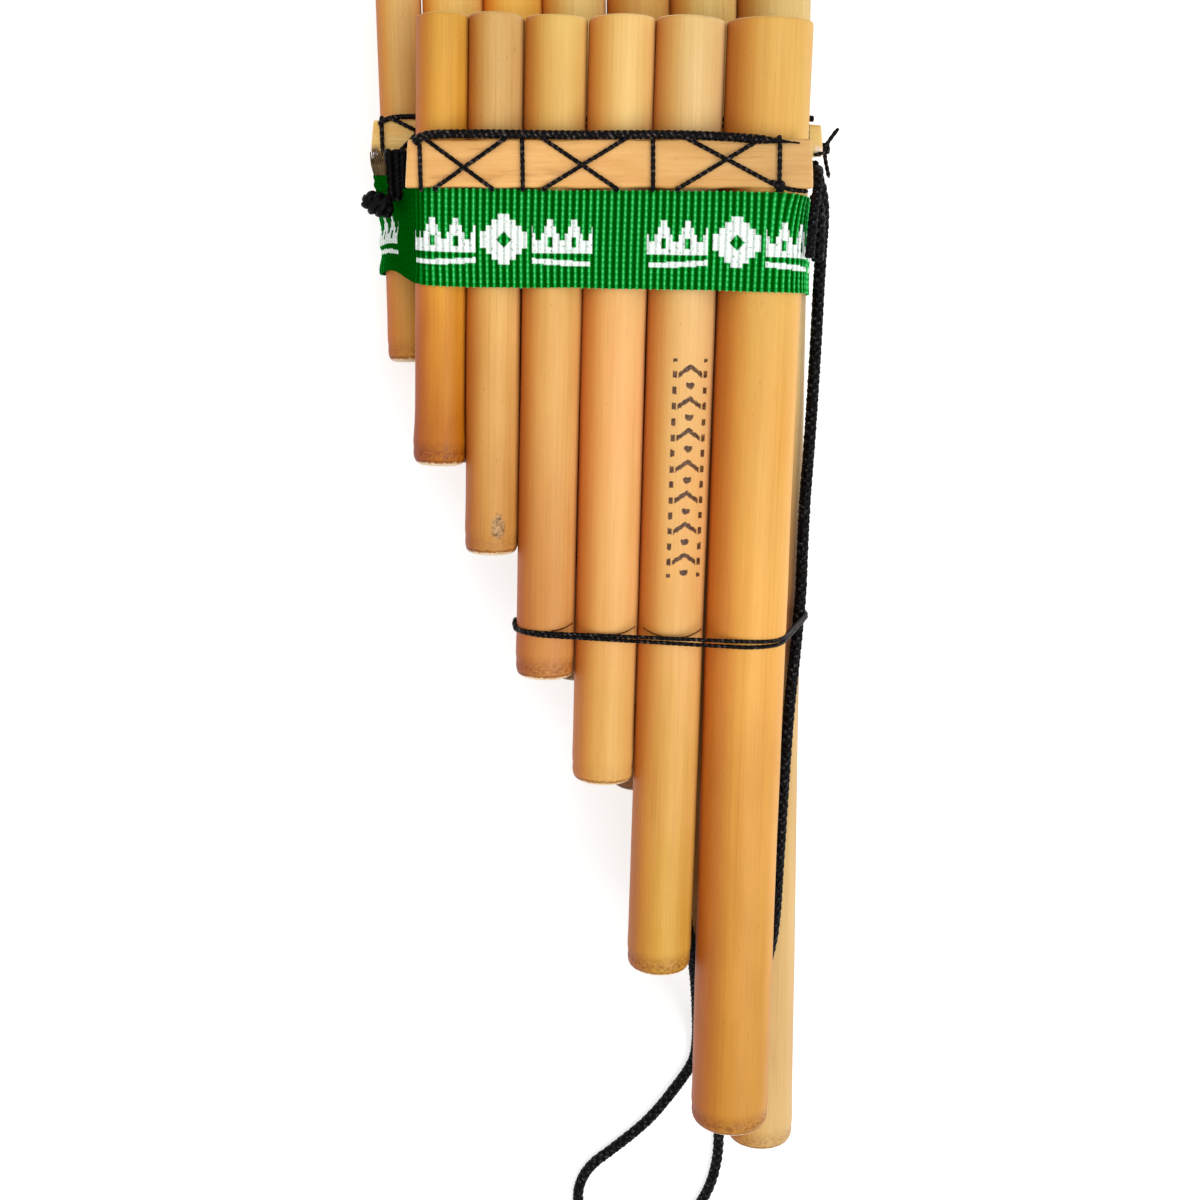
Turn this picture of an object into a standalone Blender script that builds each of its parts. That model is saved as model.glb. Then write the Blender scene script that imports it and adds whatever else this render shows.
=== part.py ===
"""A double-rank pan flute (siku) lying on its back, mouths towards +Y.

Two ranks of cane pipes, the arca underneath and the ira on top, are each lashed between
two cane slats. A woven ribbon binds the ranks together just below the slats, a thread tie
binds them lower down, and a black neck cord hangs from both ends of the inner slat.

The parts are laid out in the instrument's own frame, in millimetres: X runs across the
pipes, Y along them towards the mouths, and Z up from the back rank to the front rank.
Its plane z = 0 touches the lashing under the back slat. One empty then lays the whole
instrument down, so that it rests on that lashing and on the foot of its longest pipe.
"""

import math

import bpy
from mathutils import Vector, geometry

MM = 0.001
GAP = 0.3  # air left between neighbouring parts

# Pipes: the room each takes across its rank, and its outside length, shortest first.
ARCA_ROOM = [10.5, 14.0, 13.6, 14.8, 14.6, 15.6, 17.2]
ARCA_LENGTH = [85.0, 109.0, 129.6, 163.4, 192.2, 233.2, 291.4]
IRA_ROOM = [11.5, 12.2, 13.7, 14.5, 15.2, 18.8]
IRA_LENGTH = [97.5, 117.6, 146.4, 171.2, 218.2, 258.4]
RANK_TURN = math.radians(0.965)  # each rank is turned this much away from Y, in opposite ways
ARCA_MOUTH = (-1.0, 144.3)  # middle of the rank's mouth line
IRA_MOUTH = (2.1, 132.85)
WALL_BASE = 0.8  # a wall is this thick plus a share of the pipe's diameter
WALL_SHARE = 0.035
NODE_THICKNESS = 3.2  # the natural node that closes each foot
FOOT_FLARE = 0.15  # how far the node swells past the pipe's radius
LONG_PIPE_BOW = 1.6  # sideways drift of the longest ira pipe's foot
PIPE_SIDES = 16

# Slats: cane strips above and below each rank.
SLAT_THICKNESS = 2.6
SLAT_CROWN = 0.3
ARCA_SLAT_Y = (103.0, 113.6)  # the outer slats, behind the arca rank and before the ira rank
IRA_SLAT_Y = (97.0, 106.9)
ARCA_FRONT_SLAT_Y = (106.0, 113.2)  # the two narrower slats between the ranks
IRA_BACK_SLAT_Y = (97.0, 104.2)
ARCA_SLAT_X = (-51.8, 50.8)
IRA_FRONT_SLAT_X = (-42.9, 43.2)
IRA_BACK_SLAT_X = (-49.6, 46.0)
RANK_SPACE = 8.8  # between the front of the arca pipes and the back of the ira pipes

# Lashing thread on the outer face of each slat.
THREAD = 0.7
THREAD_GAP = 0.15
THREAD_INSET = 0.7  # from the slat's edges
ARCA_UPRIGHTS = [-49.6, -25.9, 2.4, 32.6, 47.2]
IRA_UPRIGHTS = [-40.0, -18.0, 9.7, 36.2]
CROSS_MARGIN = 2.6  # between an upright and the ends of the crossing next to it
LASHING_HEIGHT = 2 * THREAD + 2 * THREAD_GAP

IRA_BINDING = 1.9  # twisted cord along the top edge of a front slat
ARCA_BINDING = 1.3
HITCH_CORD = 1.3
HITCH_TURNS = (3, 2)  # left, right
HITCH_PITCH = 1.5
TIE = 1.3
TIE_LEVELS = [(-19.0, -1.7), (0.0, -2.5), (20.0, -3.1), (40.0, -3.1), (53.0, -1.9)]  # (x, y)
TAIL_THREAD = 1.0

RIBBON_Y = (74.9, 94.8)
RIBBON_THICKNESS = 0.6
RIBBON_GAP = 0.5

# Resting: the back lashing and the longest pipe's foot both touch the ground.
PIPES_BACK = LASHING_HEIGHT + SLAT_THICKNESS + GAP
REST_EDGE_Y = ARCA_SLAT_Y[0] + THREAD_INSET - THREAD / 2
FOOT_CONTACT_Y = ARCA_MOUTH[1] - ARCA_LENGTH[-1] + 4.0
LEAN = math.asin((PIPES_BACK - FOOT_FLARE) / (REST_EDGE_Y - FOOT_CONTACT_Y))
CENTRE_X = 0.81  # middle of the instrument's box, in the instrument's frame
CENTRE_Y = -0.88

# Neck cord, on the ground frame: it runs between the ranks from the left knot, down to
# the ground, round a loop beyond the feet and back up over the longest arca pipe.
CORD = 2.8
CORD_ROUTE = [
    (-48.6, 97.6, 19.6), (-45.6, 97.7, 19.3), (-41.5, 96.0, 20.0), (-37.0, 90.0, 21.4),
    (-31.0, 79.0, 22.0), (-23.0, 60.0, 22.0), (-13.0, 35.0, 22.0), (-3.0, 8.0, 22.0),
    (7.0, -20.0, 21.8), (15.5, -48.0, 21.4), (21.0, -70.0, 20.6), (24.5, -86.0, 18.6),
    (27.0, -101.0, 12.0), (28.6, -115.0, 4.6), (28.9, -123.0, 2.0), (27.8, -129.0, 1.5),
    (22.8, -136.8, 1.5), (17.0, -144.2, 1.5), (11.5, -149.4, 1.5), (6.1, -153.8, 1.5),
    (0.8, -158.2, 1.5), (-2.2, -163.4, 1.5), (-2.6, -169.4, 1.5), (0.6, -175.2, 1.5),
    (7.0, -179.4, 1.5), (15.0, -181.0, 1.5), (23.0, -178.6, 1.5), (29.0, -173.2, 1.5),
    (33.0, -166.2, 1.5), (35.0, -159.0, 1.5), (35.6, -151.4, 1.6), (35.0, -143.0, 2.8),
    (34.4, -134.0, 6.6), (35.4, -124.0, 12.8), (38.6, -111.5, 18.2), (42.6, -98.0, 19.6),
    (45.6, -84.0, 20.0), (46.5, -64.0, 20.1), (47.1, -46.0, 20.2), (47.9, -27.0, 20.2),
    (49.3, -9.8, 19.5), (50.2, 3.0, 18.9), (50.3, 14.0, 19.0), (50.5, 26.0, 19.2),
    (51.1, 40.0, 19.4), (51.5, 52.0, 19.6), (51.8, 64.0, 19.9), (52.0, 76.0, 20.2),
    (52.2, 86.0, 20.8), (52.2, 92.0, 21.8), (51.6, 96.4, 23.2), (50.0, 100.4, 25.6),
    (48.0, 103.6, 28.0),
]
CORD_POINTS = 78
CORD_AT_TIE = (49.85, 20.7)  # (x, z) of the neck cord inside the tie, in the instrument's frame
TAIL_ROUTE = [(48.5, 97.0, 30.6), (49.2, 93.0, 31.6), (49.3, 88.0, 31.8), (49.3, 82.6, 31.4)]

CANE_COLOURS = {
    "arca": [(0.47, 0.26, 0.09), (0.62, 0.36, 0.12), (0.60, 0.32, 0.07), (0.50, 0.34, 0.11),
             (0.46, 0.26, 0.08), (0.54, 0.34, 0.11), (0.66, 0.45, 0.18)],
    "ira": [(0.58, 0.22, 0.04), (0.68, 0.36, 0.12), (0.70, 0.36, 0.12), (0.78, 0.45, 0.16),
            (0.74, 0.42, 0.15), (0.72, 0.36, 0.09)],
}


def clear_scene():
    for old in list(bpy.data.objects):
        bpy.data.objects.remove(old, do_unlink=True)


def make_material(name, colour, roughness):
    made = bpy.data.materials.new(name)
    made.use_nodes = True
    shader = made.node_tree.nodes["Principled BSDF"]
    shader.inputs["Base Color"].default_value = (*colour, 1.0)
    shader.inputs["Roughness"].default_value = roughness
    return made


def make_empty(name, location, turn=0.0, lean=0.0, parent=None):
    empty = bpy.data.objects.new(name, None)
    empty.location = Vector(location) * MM
    empty.rotation_euler = (lean, 0.0, turn)
    empty.parent = parent
    bpy.context.collection.objects.link(empty)
    return empty


def add_object(name, data, material, parent, smooth=False):
    data.materials.append(material)
    made = bpy.data.objects.new(name, data)
    made.parent = parent
    bpy.context.collection.objects.link(made)
    if smooth:
        data.shade_smooth()
        data.set_sharp_from_angle(angle=math.radians(35))
    return made


def add_mesh(name, points, faces, material, parent, smooth=False):
    data = bpy.data.meshes.new(name)
    data.from_pydata([Vector(p) * MM for p in points], [], faces)
    data.validate()
    return add_object(name, data, material, parent, smooth)


def add_tube(name, points, diameter, material, parent, closed=False, resolution=0):
    """A round tube along points, as a poly curve."""
    data = bpy.data.curves.new(name, "CURVE")
    data.dimensions = "3D"
    data.bevel_depth = diameter / 2 * MM
    data.bevel_resolution = resolution
    data.use_fill_caps = not closed
    spline = data.splines.new("POLY")
    spline.points.add(len(points) - 1)
    for point, place in zip(spline.points, points, strict=True):
        point.co = (*(Vector(place) * MM), 1.0)
    spline.use_cyclic_u = closed
    data.materials.append(material)
    made = bpy.data.objects.new(name, data)
    made.parent = parent
    bpy.context.collection.objects.link(made)
    return made


def smooth_route(points, count):
    """count points, evenly spaced, on a smooth curve through points."""
    knots = [Vector(p) for p in points]
    knots = [2 * knots[0] - knots[1], *knots, 2 * knots[-1] - knots[-2]]
    fine = []
    for a, b, c, d in zip(knots, knots[1:], knots[2:], knots[3:], strict=False):
        for step in range(16):
            t = step / 16
            fine.append(
                0.5 * (2 * b + (c - a) * t + (2 * a - 5 * b + 4 * c - d) * t**2
                       + (3 * b - a - 3 * c + d) * t**3)
            )
    fine.append(knots[-2])
    along = [0.0]
    for a, b in zip(fine, fine[1:], strict=False):
        along.append(along[-1] + (b - a).length)
    spaced, at = [], 0
    for k in range(count):
        want = along[-1] * k / (count - 1)
        while at < len(fine) - 2 and along[at + 1] < want:
            at += 1
        span = max(along[at + 1] - along[at], 1e-9)
        spaced.append(fine[at].lerp(fine[at + 1], min((want - along[at]) / span, 1.0)))
    return spaced


class Rank:
    """One row of pipes, with the planes that its slats' inner faces follow."""

    def __init__(self, name, room, lengths, mouth, turn, back, bearing):
        self.name, self.lengths, self.mouth, self.turn = name, lengths, mouth, turn
        self.back = back  # a function of x: the plane behind the pipes
        self.diameters = [r - GAP for r in room]
        edge = -sum(room) / 2
        self.axes_x = []
        for r in room:
            self.axes_x.append(edge + r / 2)
            edge += r
        # The front plane touches the two bearing pipes.
        (x0, z0), (x1, z1) = (
            (self.axes_x[k], back(self.axes_x[k]) + self.diameters[k]) for k in bearing
        )
        self.front_slope = (z1 - z0) / (x1 - x0)
        self.front = lambda x: z0 + self.front_slope * (x - x0)

    def axis_z(self, k):
        x = self.axes_x[k]
        return (self.back(x) + self.front(x)) / 2

    def section(self, y):
        """(x, z, radius) of each pipe that reaches the level y."""
        circles = []
        for k, x in enumerate(self.axes_x):
            down = self.mouth[1] - y
            if down < self.lengths[k] - 4.0:
                circles.append(
                    (self.mouth[0] + x + math.tan(self.turn) * down, self.axis_z(k),
                     self.diameters[k] / 2)
                )
        return circles


def pipe_rings(diameter, length, bow):
    """(distance from the mouth, radius, sideways shift) down the outside of a pipe."""
    radius, foot = diameter / 2, radius_at_node(diameter)
    rings = [(0.0, radius - 0.25), (0.35, radius), (length * 0.4, radius),
             (length * 0.75, radius), (length - 9.0, radius), (length - 4.0, foot),
             (length - 2.0, foot * 0.96), (length - 0.7, foot * 0.84), (length, foot * 0.6)]
    return [(along, r, bow * (along / length) ** 2) for along, r in rings]


def radius_at_node(diameter):
    return diameter / 2 + FOOT_FLARE


def add_pipe(rank, k, parent):
    diameter, length = rank.diameters[k], rank.lengths[k]
    bow = LONG_PIPE_BOW if rank.name == "ira" and k == len(rank.lengths) - 1 else 0.0
    wall = WALL_BASE + WALL_SHARE * diameter
    bore, depth = diameter / 2 - wall, length - NODE_THICKNESS
    outside = pipe_rings(diameter, length, bow)
    inside = [(depth, bore - 0.4), (depth - 1.0, bore), (length * 0.5, bore), (0.0, bore)]
    rings = outside[::-1] + [
        (along, r, bow * (along / length) ** 2) for along, r in inside[::-1]
    ]
    centre_x, centre_z = rank.axes_x[k], rank.axis_z(k)
    points, faces = [], []
    for along, r, shift in rings:
        for side in range(PIPE_SIDES):
            angle = math.tau * side / PIPE_SIDES
            points.append((centre_x + shift + r * math.cos(angle), -along,
                           centre_z + r * math.sin(angle)))
    for ring in range(len(rings) - 1):
        low, high = ring * PIPE_SIDES, (ring + 1) * PIPE_SIDES
        for side in range(PIPE_SIDES):
            after = (side + 1) % PIPE_SIDES
            faces.append((low + side, high + side, high + after, low + after))
    last = (len(rings) - 1) * PIPE_SIDES
    faces.append(tuple(range(PIPE_SIDES)))
    faces.append(tuple(range(last, last + PIPE_SIDES))[::-1])
    name = f"{rank.name}_pipe_{k + 1}"
    material = make_material(name, CANE_COLOURS[rank.name][k], 0.42)
    return add_mesh(name, points, faces, material, parent, smooth=True)


def add_slat(name, x_span, y_span, inner, outward, material, parent):
    """A cane strip whose flat inner face lies GAP outside the plane inner(x)."""
    low, high = y_span
    profile = [  # (y, height above the inner face)
        (low, 0.0), (high, 0.0), (high, SLAT_THICKNESS - 0.8),
        (high - 0.5, SLAT_THICKNESS - SLAT_CROWN), ((low + high) / 2, SLAT_THICKNESS),
        (low + 0.5, SLAT_THICKNESS - SLAT_CROWN), (low, SLAT_THICKNESS - 0.8),
    ]
    points = [
        (x, y, inner(x) + outward * (GAP + height)) for x in x_span for y, height in profile
    ]
    count = len(profile)
    faces = [tuple(range(count))[::-outward], tuple(range(count, 2 * count))[::outward]]
    for k in range(count):
        after = (k + 1) % count
        faces.append((k, after, count + after, count + k)[::outward])
    return add_mesh(name, points, faces, material, parent)


def lashing_route(uprights, half, hop_side):
    """(along the slat, across it, height step) of one thread: out to the right with an
    upright at each place and a slanting run between them, then back with the other
    slanting runs, hopping over what it crosses."""
    route, first_runs = [], []
    for k, x in enumerate(uprights):
        route += [(x, -half, 0), (x, half, 0)]
        if k + 1 < len(uprights):
            start, end = x + CROSS_MARGIN, uprights[k + 1] - CROSS_MARGIN
            first_runs.append((start, end))
            route += [(start, half, 0), (end, -half, 0)]
    for k in range(len(uprights) - 2, -1, -1):
        start, end = first_runs[k]
        slant = Vector((start - end, -2 * half)).normalized()
        middle = Vector(((start + end) / 2, 0.0))
        route.append((end, half, 0))
        for off, step in ((-2.2, 0), (-0.9, 1), (0.9, 1), (2.2, 0)):
            place = middle + slant * off
            route.append((place.x, place.y, step))
        route.append((start, -half, 0))
        if k:
            beside, under = uprights[k] + 1.1, half - 1.3
            route += [(beside, -half, 0), (beside, under - 1.2, 0), (beside, under, 1),
                      (uprights[k] - 1.1, under, 1), (uprights[k] - 2.4, under + 0.6, 0)]
    return [(x, hop_side * y, step) for x, y, step in route]


def add_lashing(name, uprights, y_span, inner, outward, hop_side, material, parent):
    middle = sum(y_span) / 2
    half = (y_span[1] - y_span[0]) / 2 - THREAD_INSET
    face = GAP + SLAT_THICKNESS + THREAD_GAP + THREAD / 2
    step_up = THREAD + THREAD_GAP
    points = [
        (x, middle + across, inner(x) + outward * (face + step * step_up))
        for x, across, step in lashing_route(uprights, half, hop_side)
    ]
    return add_tube(name, points, THREAD, material, parent)


def add_binding(name, x_span, rank, y_span, diameter, material, parent):
    """The twisted cord along the top edge of a front slat."""
    y = y_span[1] + GAP + diameter / 2
    points = [
        (x, y, rank.front(x) + GAP + SLAT_THICKNESS / 2 + 0.6)
        for x in (x_span[0], sum(x_span) / 2, x_span[1])
    ]
    return add_tube(name, points, diameter, material, parent, resolution=1)


def hull_outline(circles, offset, sides=40):
    """The taut outline round some circles, offset from them, as (x, z) points."""
    cloud = []
    for x, z, radius in circles:
        for side in range(sides):
            angle = math.tau * side / sides
            reach = radius + offset
            cloud.append(Vector((x + reach * math.cos(angle), z + reach * math.sin(angle))))
    return [cloud[k] for k in geometry.convex_hull_2d(cloud)]


def add_ribbon(ranks, material, parent):
    circles = [c for rank in ranks for c in rank.section(sum(RIBBON_Y) / 2)]
    inner = hull_outline(circles, RIBBON_GAP)
    middle = sum(inner, Vector((0.0, 0.0))) / len(inner)
    outer = []
    for k, here in enumerate(inner):
        edges = ((here - inner[k - 1]).normalized(),
                 (inner[(k + 1) % len(inner)] - here).normalized())
        normals = [Vector((e.y, -e.x)) for e in edges]
        normals = [n if n.dot(here - middle) > 0 else -n for n in normals]
        bisector = (normals[0] + normals[1]).normalized()
        outer.append(here + bisector * RIBBON_THICKNESS / max(bisector.dot(normals[0]), 0.5))
    count = len(inner)
    points = [(p.x, y, p.y) for y in RIBBON_Y for ring in (inner, outer) for p in ring]
    faces = []
    for k in range(count):
        after = (k + 1) % count
        rings = [0, count, 3 * count, 2 * count]  # inner low, outer low, outer high, inner high
        for near, far in zip(rings, rings[1:] + rings[:1], strict=True):
            faces.append((near + k, far + k, far + after, near + after))
    made = add_mesh("ribbon", points, faces, material, parent)
    return made


def add_ribbon_tail(material, parent):
    """A short frayed end of ribbon that stands up beside the left hitch."""
    sections = [((-49.3, 97.6, 29.0), 1.2), ((-49.4, 100.6, 29.1), 1.6), ((-49.6, 104.2, 28.8), 1.0)]
    points, faces = [], []
    for (x, y, z), width in sections:
        for side_x, side_z in ((-1, -1), (1, -1), (1, 1), (-1, 1)):
            points.append((x + side_x * width / 2, y, z + side_z * RIBBON_THICKNESS / 2))
    for ring in range(len(sections) - 1):
        for side in range(4):
            low, after = 4 * ring + side, 4 * ring + (side + 1) % 4
            faces.append((low, low + 4, after + 4, after))
    faces += [(0, 1, 2, 3), (11, 10, 9, 8)]
    return add_mesh("ribbon_tail", points, faces, material, parent)


def tie_level(x):
    """How far along the pipes the tie lies at x."""
    for (x0, y0), (x1, y1) in zip(TIE_LEVELS, TIE_LEVELS[1:]):
        if x <= x1:
            break
    return y0 + (y1 - y0) * min(max((x - x0) / (x1 - x0), 0.0), 1.0)


def add_tie(ranks, material, parent):
    """The thread tie round both ranks and the neck cord."""
    circles = [c for rank in ranks for c in rank.section(TIE_LEVELS[0][1])]
    circles = [c for c in circles if c[0] > circles[0][0] - 1.0]
    circles.append((*CORD_AT_TIE, CORD / 2))
    loop = hull_outline(circles, GAP + TIE / 2 + 0.1, sides=24)
    points = [(p.x, tie_level(p.x), p.y) for p in loop]
    return add_tube("lower_tie", points, TIE, material, parent, closed=True, resolution=1)


def add_hitch(name, first_x, turns, inner, material, parent):
    """Turns of cord round one end of the ira's back slat."""
    across = (IRA_BACK_SLAT_Y[1] - IRA_BACK_SLAT_Y[0]) / 2
    away = GAP + HITCH_CORD / 2
    far, near = 1.05 * away, 0.4 * away
    corners = []
    for side_y, side_z in ((-1, -1), (1, -1), (1, 1), (-1, 1)):
        pair = [(side_y * (across + far), side_z * (SLAT_THICKNESS / 2 + near)),
                (side_y * (across + near), side_z * (SLAT_THICKNESS / 2 + far))]
        corners += pair if side_y * side_z > 0 else pair[::-1]
    points = []
    for turn in range(turns):
        for k, (y, z) in enumerate(corners):
            x = first_x + HITCH_PITCH * (turn + k / len(corners))
            middle = inner(x) - GAP - SLAT_THICKNESS / 2
            points.append((x, sum(IRA_BACK_SLAT_Y) / 2 + y, middle + z))
    return add_tube(name, points, HITCH_CORD, material, parent, resolution=1)


def add_knot(name, centre, radii, material, parent, rings=7, sides=12):
    """A pulled-tight knot, as a lobed round body."""
    points = [(centre[0], centre[1], centre[2] + radii[2])]
    for ring in range(1, rings):
        tilt = math.pi * ring / rings
        for side in range(sides):
            angle = math.tau * side / sides
            lobe = 1.0 + 0.08 * math.cos(3 * angle)
            points.append((centre[0] + radii[0] * lobe * math.sin(tilt) * math.cos(angle),
                           centre[1] + radii[1] * lobe * math.sin(tilt) * math.sin(angle),
                           centre[2] + radii[2] * math.cos(tilt)))
    points.append((centre[0], centre[1], centre[2] - radii[2]))
    faces, last = [], len(points) - 1
    for side in range(sides):
        after = (side + 1) % sides
        faces.append((0, 1 + side, 1 + after))
        for ring in range(rings - 2):
            low, high = 1 + ring * sides, 1 + (ring + 1) * sides
            faces.append((low + side, high + side, high + after, low + after))
        faces.append((last - sides + side, last, last - sides + after))
    return add_mesh(name, points, faces, material, parent, smooth=True)


def build():
    clear_scene()
    cane_strip = make_material("cane_strip", (0.66, 0.40, 0.15), 0.5)
    thread = make_material("black_thread", (0.012, 0.010, 0.010), 0.6)
    cord = make_material("black_cord", (0.010, 0.010, 0.010), 0.65)
    green = make_material("green_ribbon", (0.010, 0.20, 0.035), 0.55)

    lying = make_empty(
        "instrument",
        (-CENTRE_X, -CENTRE_Y, -REST_EDGE_Y * math.sin(LEAN)),
        lean=LEAN,
    )
    arca = Rank("arca", ARCA_ROOM, ARCA_LENGTH, ARCA_MOUTH, RANK_TURN,
                lambda x: PIPES_BACK, (1, 6))
    ira = Rank("ira", IRA_ROOM, IRA_LENGTH, IRA_MOUTH, -RANK_TURN,
               lambda x: arca.front(x) + RANK_SPACE, (0, 5))
    for rank in (arca, ira):
        frame = make_empty(f"{rank.name}_rank", (*rank.mouth, 0.0), rank.turn, 0.0, lying)
        for k in range(len(rank.lengths)):
            add_pipe(rank, k, frame)

    slats = [
        ("arca_back", ARCA_SLAT_X, ARCA_SLAT_Y, arca.back, -1, ARCA_UPRIGHTS, 1),
        ("arca_front", ARCA_SLAT_X, ARCA_FRONT_SLAT_Y, arca.front, 1, ARCA_UPRIGHTS, 1),
        ("ira_back", IRA_BACK_SLAT_X, IRA_BACK_SLAT_Y, ira.back, -1, IRA_UPRIGHTS, -1),
        ("ira_front", IRA_FRONT_SLAT_X, IRA_SLAT_Y, ira.front, 1, IRA_UPRIGHTS, -1),
    ]
    for name, x_span, y_span, inner, outward, uprights, hop in slats:
        add_slat(f"{name}_slat", x_span, y_span, inner, outward, cane_strip, lying)
        add_lashing(f"{name}_lashing", uprights, y_span, inner, outward, hop, thread, lying)
    add_binding("arca_binding", (-50.0, 48.0), arca, ARCA_FRONT_SLAT_Y, ARCA_BINDING, thread, lying)
    add_binding("ira_binding", (-40.6, 39.0), ira, IRA_SLAT_Y, IRA_BINDING, thread, lying)

    add_ribbon((arca, ira), green, lying)
    add_ribbon_tail(green, lying)
    add_tie((ira, arca), thread, lying)
    add_hitch("left_hitch", -48.4, HITCH_TURNS[0], ira.back, cord, lying)
    add_hitch("right_hitch", 42.3, HITCH_TURNS[1], ira.back, cord, lying)
    add_knot("left_knot", (-50.0, 94.0, 29.8), (4.0, 2.7, 2.7), cord, lying)
    add_tube("lashing_tails", [(54.9, 112.6, 22.6), (53.2, 110.2, 22.3), (51.9, 108.2, 22.0),
                               (52.3, 105.2, 22.2), (53.1, 101.6, 22.6)],
             TAIL_THREAD, thread, lying, resolution=1)
    add_tube("neck_cord_tail", smooth_route(TAIL_ROUTE, 6), CORD, cord, lying, resolution=2)

    ground = make_empty("ground", (-CENTRE_X, -CENTRE_Y, 0.0))
    add_tube("neck_cord", smooth_route(CORD_ROUTE, CORD_POINTS), CORD, cord, ground,
             resolution=2)


build()
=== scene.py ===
"""The looks of a double-rank pan flute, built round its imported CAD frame."""

import math

import bpy
import numpy as np
from mathutils import Matrix, Vector, geometry


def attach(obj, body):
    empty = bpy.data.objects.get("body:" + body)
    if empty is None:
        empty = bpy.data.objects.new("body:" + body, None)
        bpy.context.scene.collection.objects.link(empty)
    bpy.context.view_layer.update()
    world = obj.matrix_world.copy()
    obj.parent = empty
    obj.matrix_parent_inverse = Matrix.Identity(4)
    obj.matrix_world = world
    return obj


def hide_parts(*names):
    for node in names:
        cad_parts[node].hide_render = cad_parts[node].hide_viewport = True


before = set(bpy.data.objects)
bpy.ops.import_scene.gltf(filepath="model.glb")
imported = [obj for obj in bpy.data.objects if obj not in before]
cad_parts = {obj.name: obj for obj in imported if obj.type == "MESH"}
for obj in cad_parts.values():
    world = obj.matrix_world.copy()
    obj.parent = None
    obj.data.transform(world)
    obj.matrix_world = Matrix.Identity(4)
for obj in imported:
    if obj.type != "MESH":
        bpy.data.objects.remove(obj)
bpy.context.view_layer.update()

# ---------------------------------------------------------------- the instrument's own frame
MM = 0.001
GAP = 0.3  # air left between neighbouring parts
WALL_BASE, WALL_SHARE = 0.8, 0.035  # a wall is this thick plus a share of the diameter
ARCA_ROOM = [10.5, 14.0, 13.6, 14.8, 14.6, 15.6, 17.2]
ARCA_LENGTH = [85.0, 109.0, 129.6, 163.4, 192.2, 233.2, 291.4]
IRA_ROOM = [11.5, 12.2, 13.7, 14.5, 15.2, 18.8]
IRA_LENGTH = [97.5, 117.6, 146.4, 171.2, 218.2, 258.4]
RANK_TURN = math.radians(0.965)
ARCA_MOUTH = (-1.0, 144.3)
IRA_MOUTH = (2.1, 132.85)
NODE_THICKNESS = 3.2
FOOT_FLARE = 0.15
LONG_PIPE_BOW = 1.6
SLAT_THICKNESS = 2.6
ARCA_SLAT_Y = (103.0, 113.6)
IRA_SLAT_Y = (97.0, 106.9)
ARCA_FRONT_SLAT_Y = (106.0, 113.2)
IRA_BACK_SLAT_Y = (97.0, 104.2)
RANK_SPACE = 8.8
PIPES_BACK = 4.6
REST_EDGE_Y = 103.35
FOOT_CONTACT_Y = ARCA_MOUTH[1] - ARCA_LENGTH[-1] + 4.0
LEAN = math.asin((PIPES_BACK - FOOT_FLARE) / (REST_EDGE_Y - FOOT_CONTACT_Y))
CENTRE_X = 0.81
CENTRE_Y = -0.88

# Millimetres in the instrument's frame to metres in the world.
LAY = (
    Matrix.Translation(Vector((-CENTRE_X, -CENTRE_Y, -REST_EDGE_Y * math.sin(LEAN))) * MM)
    @ Matrix.Rotation(LEAN, 4, "X")
    @ Matrix.Scale(MM, 4)
)
# Millimetres on the ground frame, in which the neck cord's route is given, to the world.
GROUND = Matrix.Translation(Vector((-CENTRE_X, -CENTRE_Y, 0.0)) * MM) @ Matrix.Scale(MM, 4)


class Rank:
    """One row of pipes and the planes that its slats' inner faces follow."""

    def __init__(self, name, room, lengths, mouth, turn, back, bearing):
        self.name, self.lengths, self.mouth, self.turn, self.back = name, lengths, mouth, turn, back
        self.diameters = [r - GAP for r in room]
        self.axes_x, edge = [], -sum(room) / 2
        for r in room:
            self.axes_x.append(edge + r / 2)
            edge += r
        (x0, z0), (x1, z1) = (
            (self.axes_x[k], back(self.axes_x[k]) + self.diameters[k]) for k in bearing
        )
        self.slope = (z1 - z0) / (x1 - x0)
        self.front = lambda x: z0 + self.slope * (x - x0)
        self.place = LAY @ Matrix.Translation((*mouth, 0.0)) @ Matrix.Rotation(turn, 4, "Z")

    def axis_z(self, k):
        return (self.back(self.axes_x[k]) + self.front(self.axes_x[k])) / 2

    def section(self, y):
        """(x, z, radius) in the instrument's frame of each pipe that reaches the level y."""
        down = self.mouth[1] - y
        return [
            (self.mouth[0] + x + math.tan(self.turn) * down, self.axis_z(k), self.diameters[k] / 2)
            for k, x in enumerate(self.axes_x)
            if down < self.lengths[k] - 4.0
        ]


arca = Rank("arca", ARCA_ROOM, ARCA_LENGTH, ARCA_MOUTH, RANK_TURN, lambda x: PIPES_BACK, (1, 6))
ira = Rank("ira", IRA_ROOM, IRA_LENGTH, IRA_MOUTH, -RANK_TURN,
           lambda x: arca.front(x) + RANK_SPACE, (0, 5))


# ---------------------------------------------------------------- mesh helpers
def placed(points, matrix):
    """points times a 4 by 4 matrix."""
    m = np.array(matrix)
    return np.asarray(points, dtype=float) @ m[:3, :3].T + m[:3, 3]


def grid_faces(rows, columns, wrap=True, start=0):
    """Quads over a grid of rows, whose columns close on themselves if wrap."""
    r = np.arange(rows - 1)[:, None]
    c = np.arange(columns if wrap else columns - 1)[None, :]
    after = (c + 1) % columns
    quads = np.stack([r * columns + c, r * columns + after, (r + 1) * columns + after,
                      (r + 1) * columns + c], axis=-1)
    return (quads.reshape(-1, 4) + start).tolist()


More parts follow.
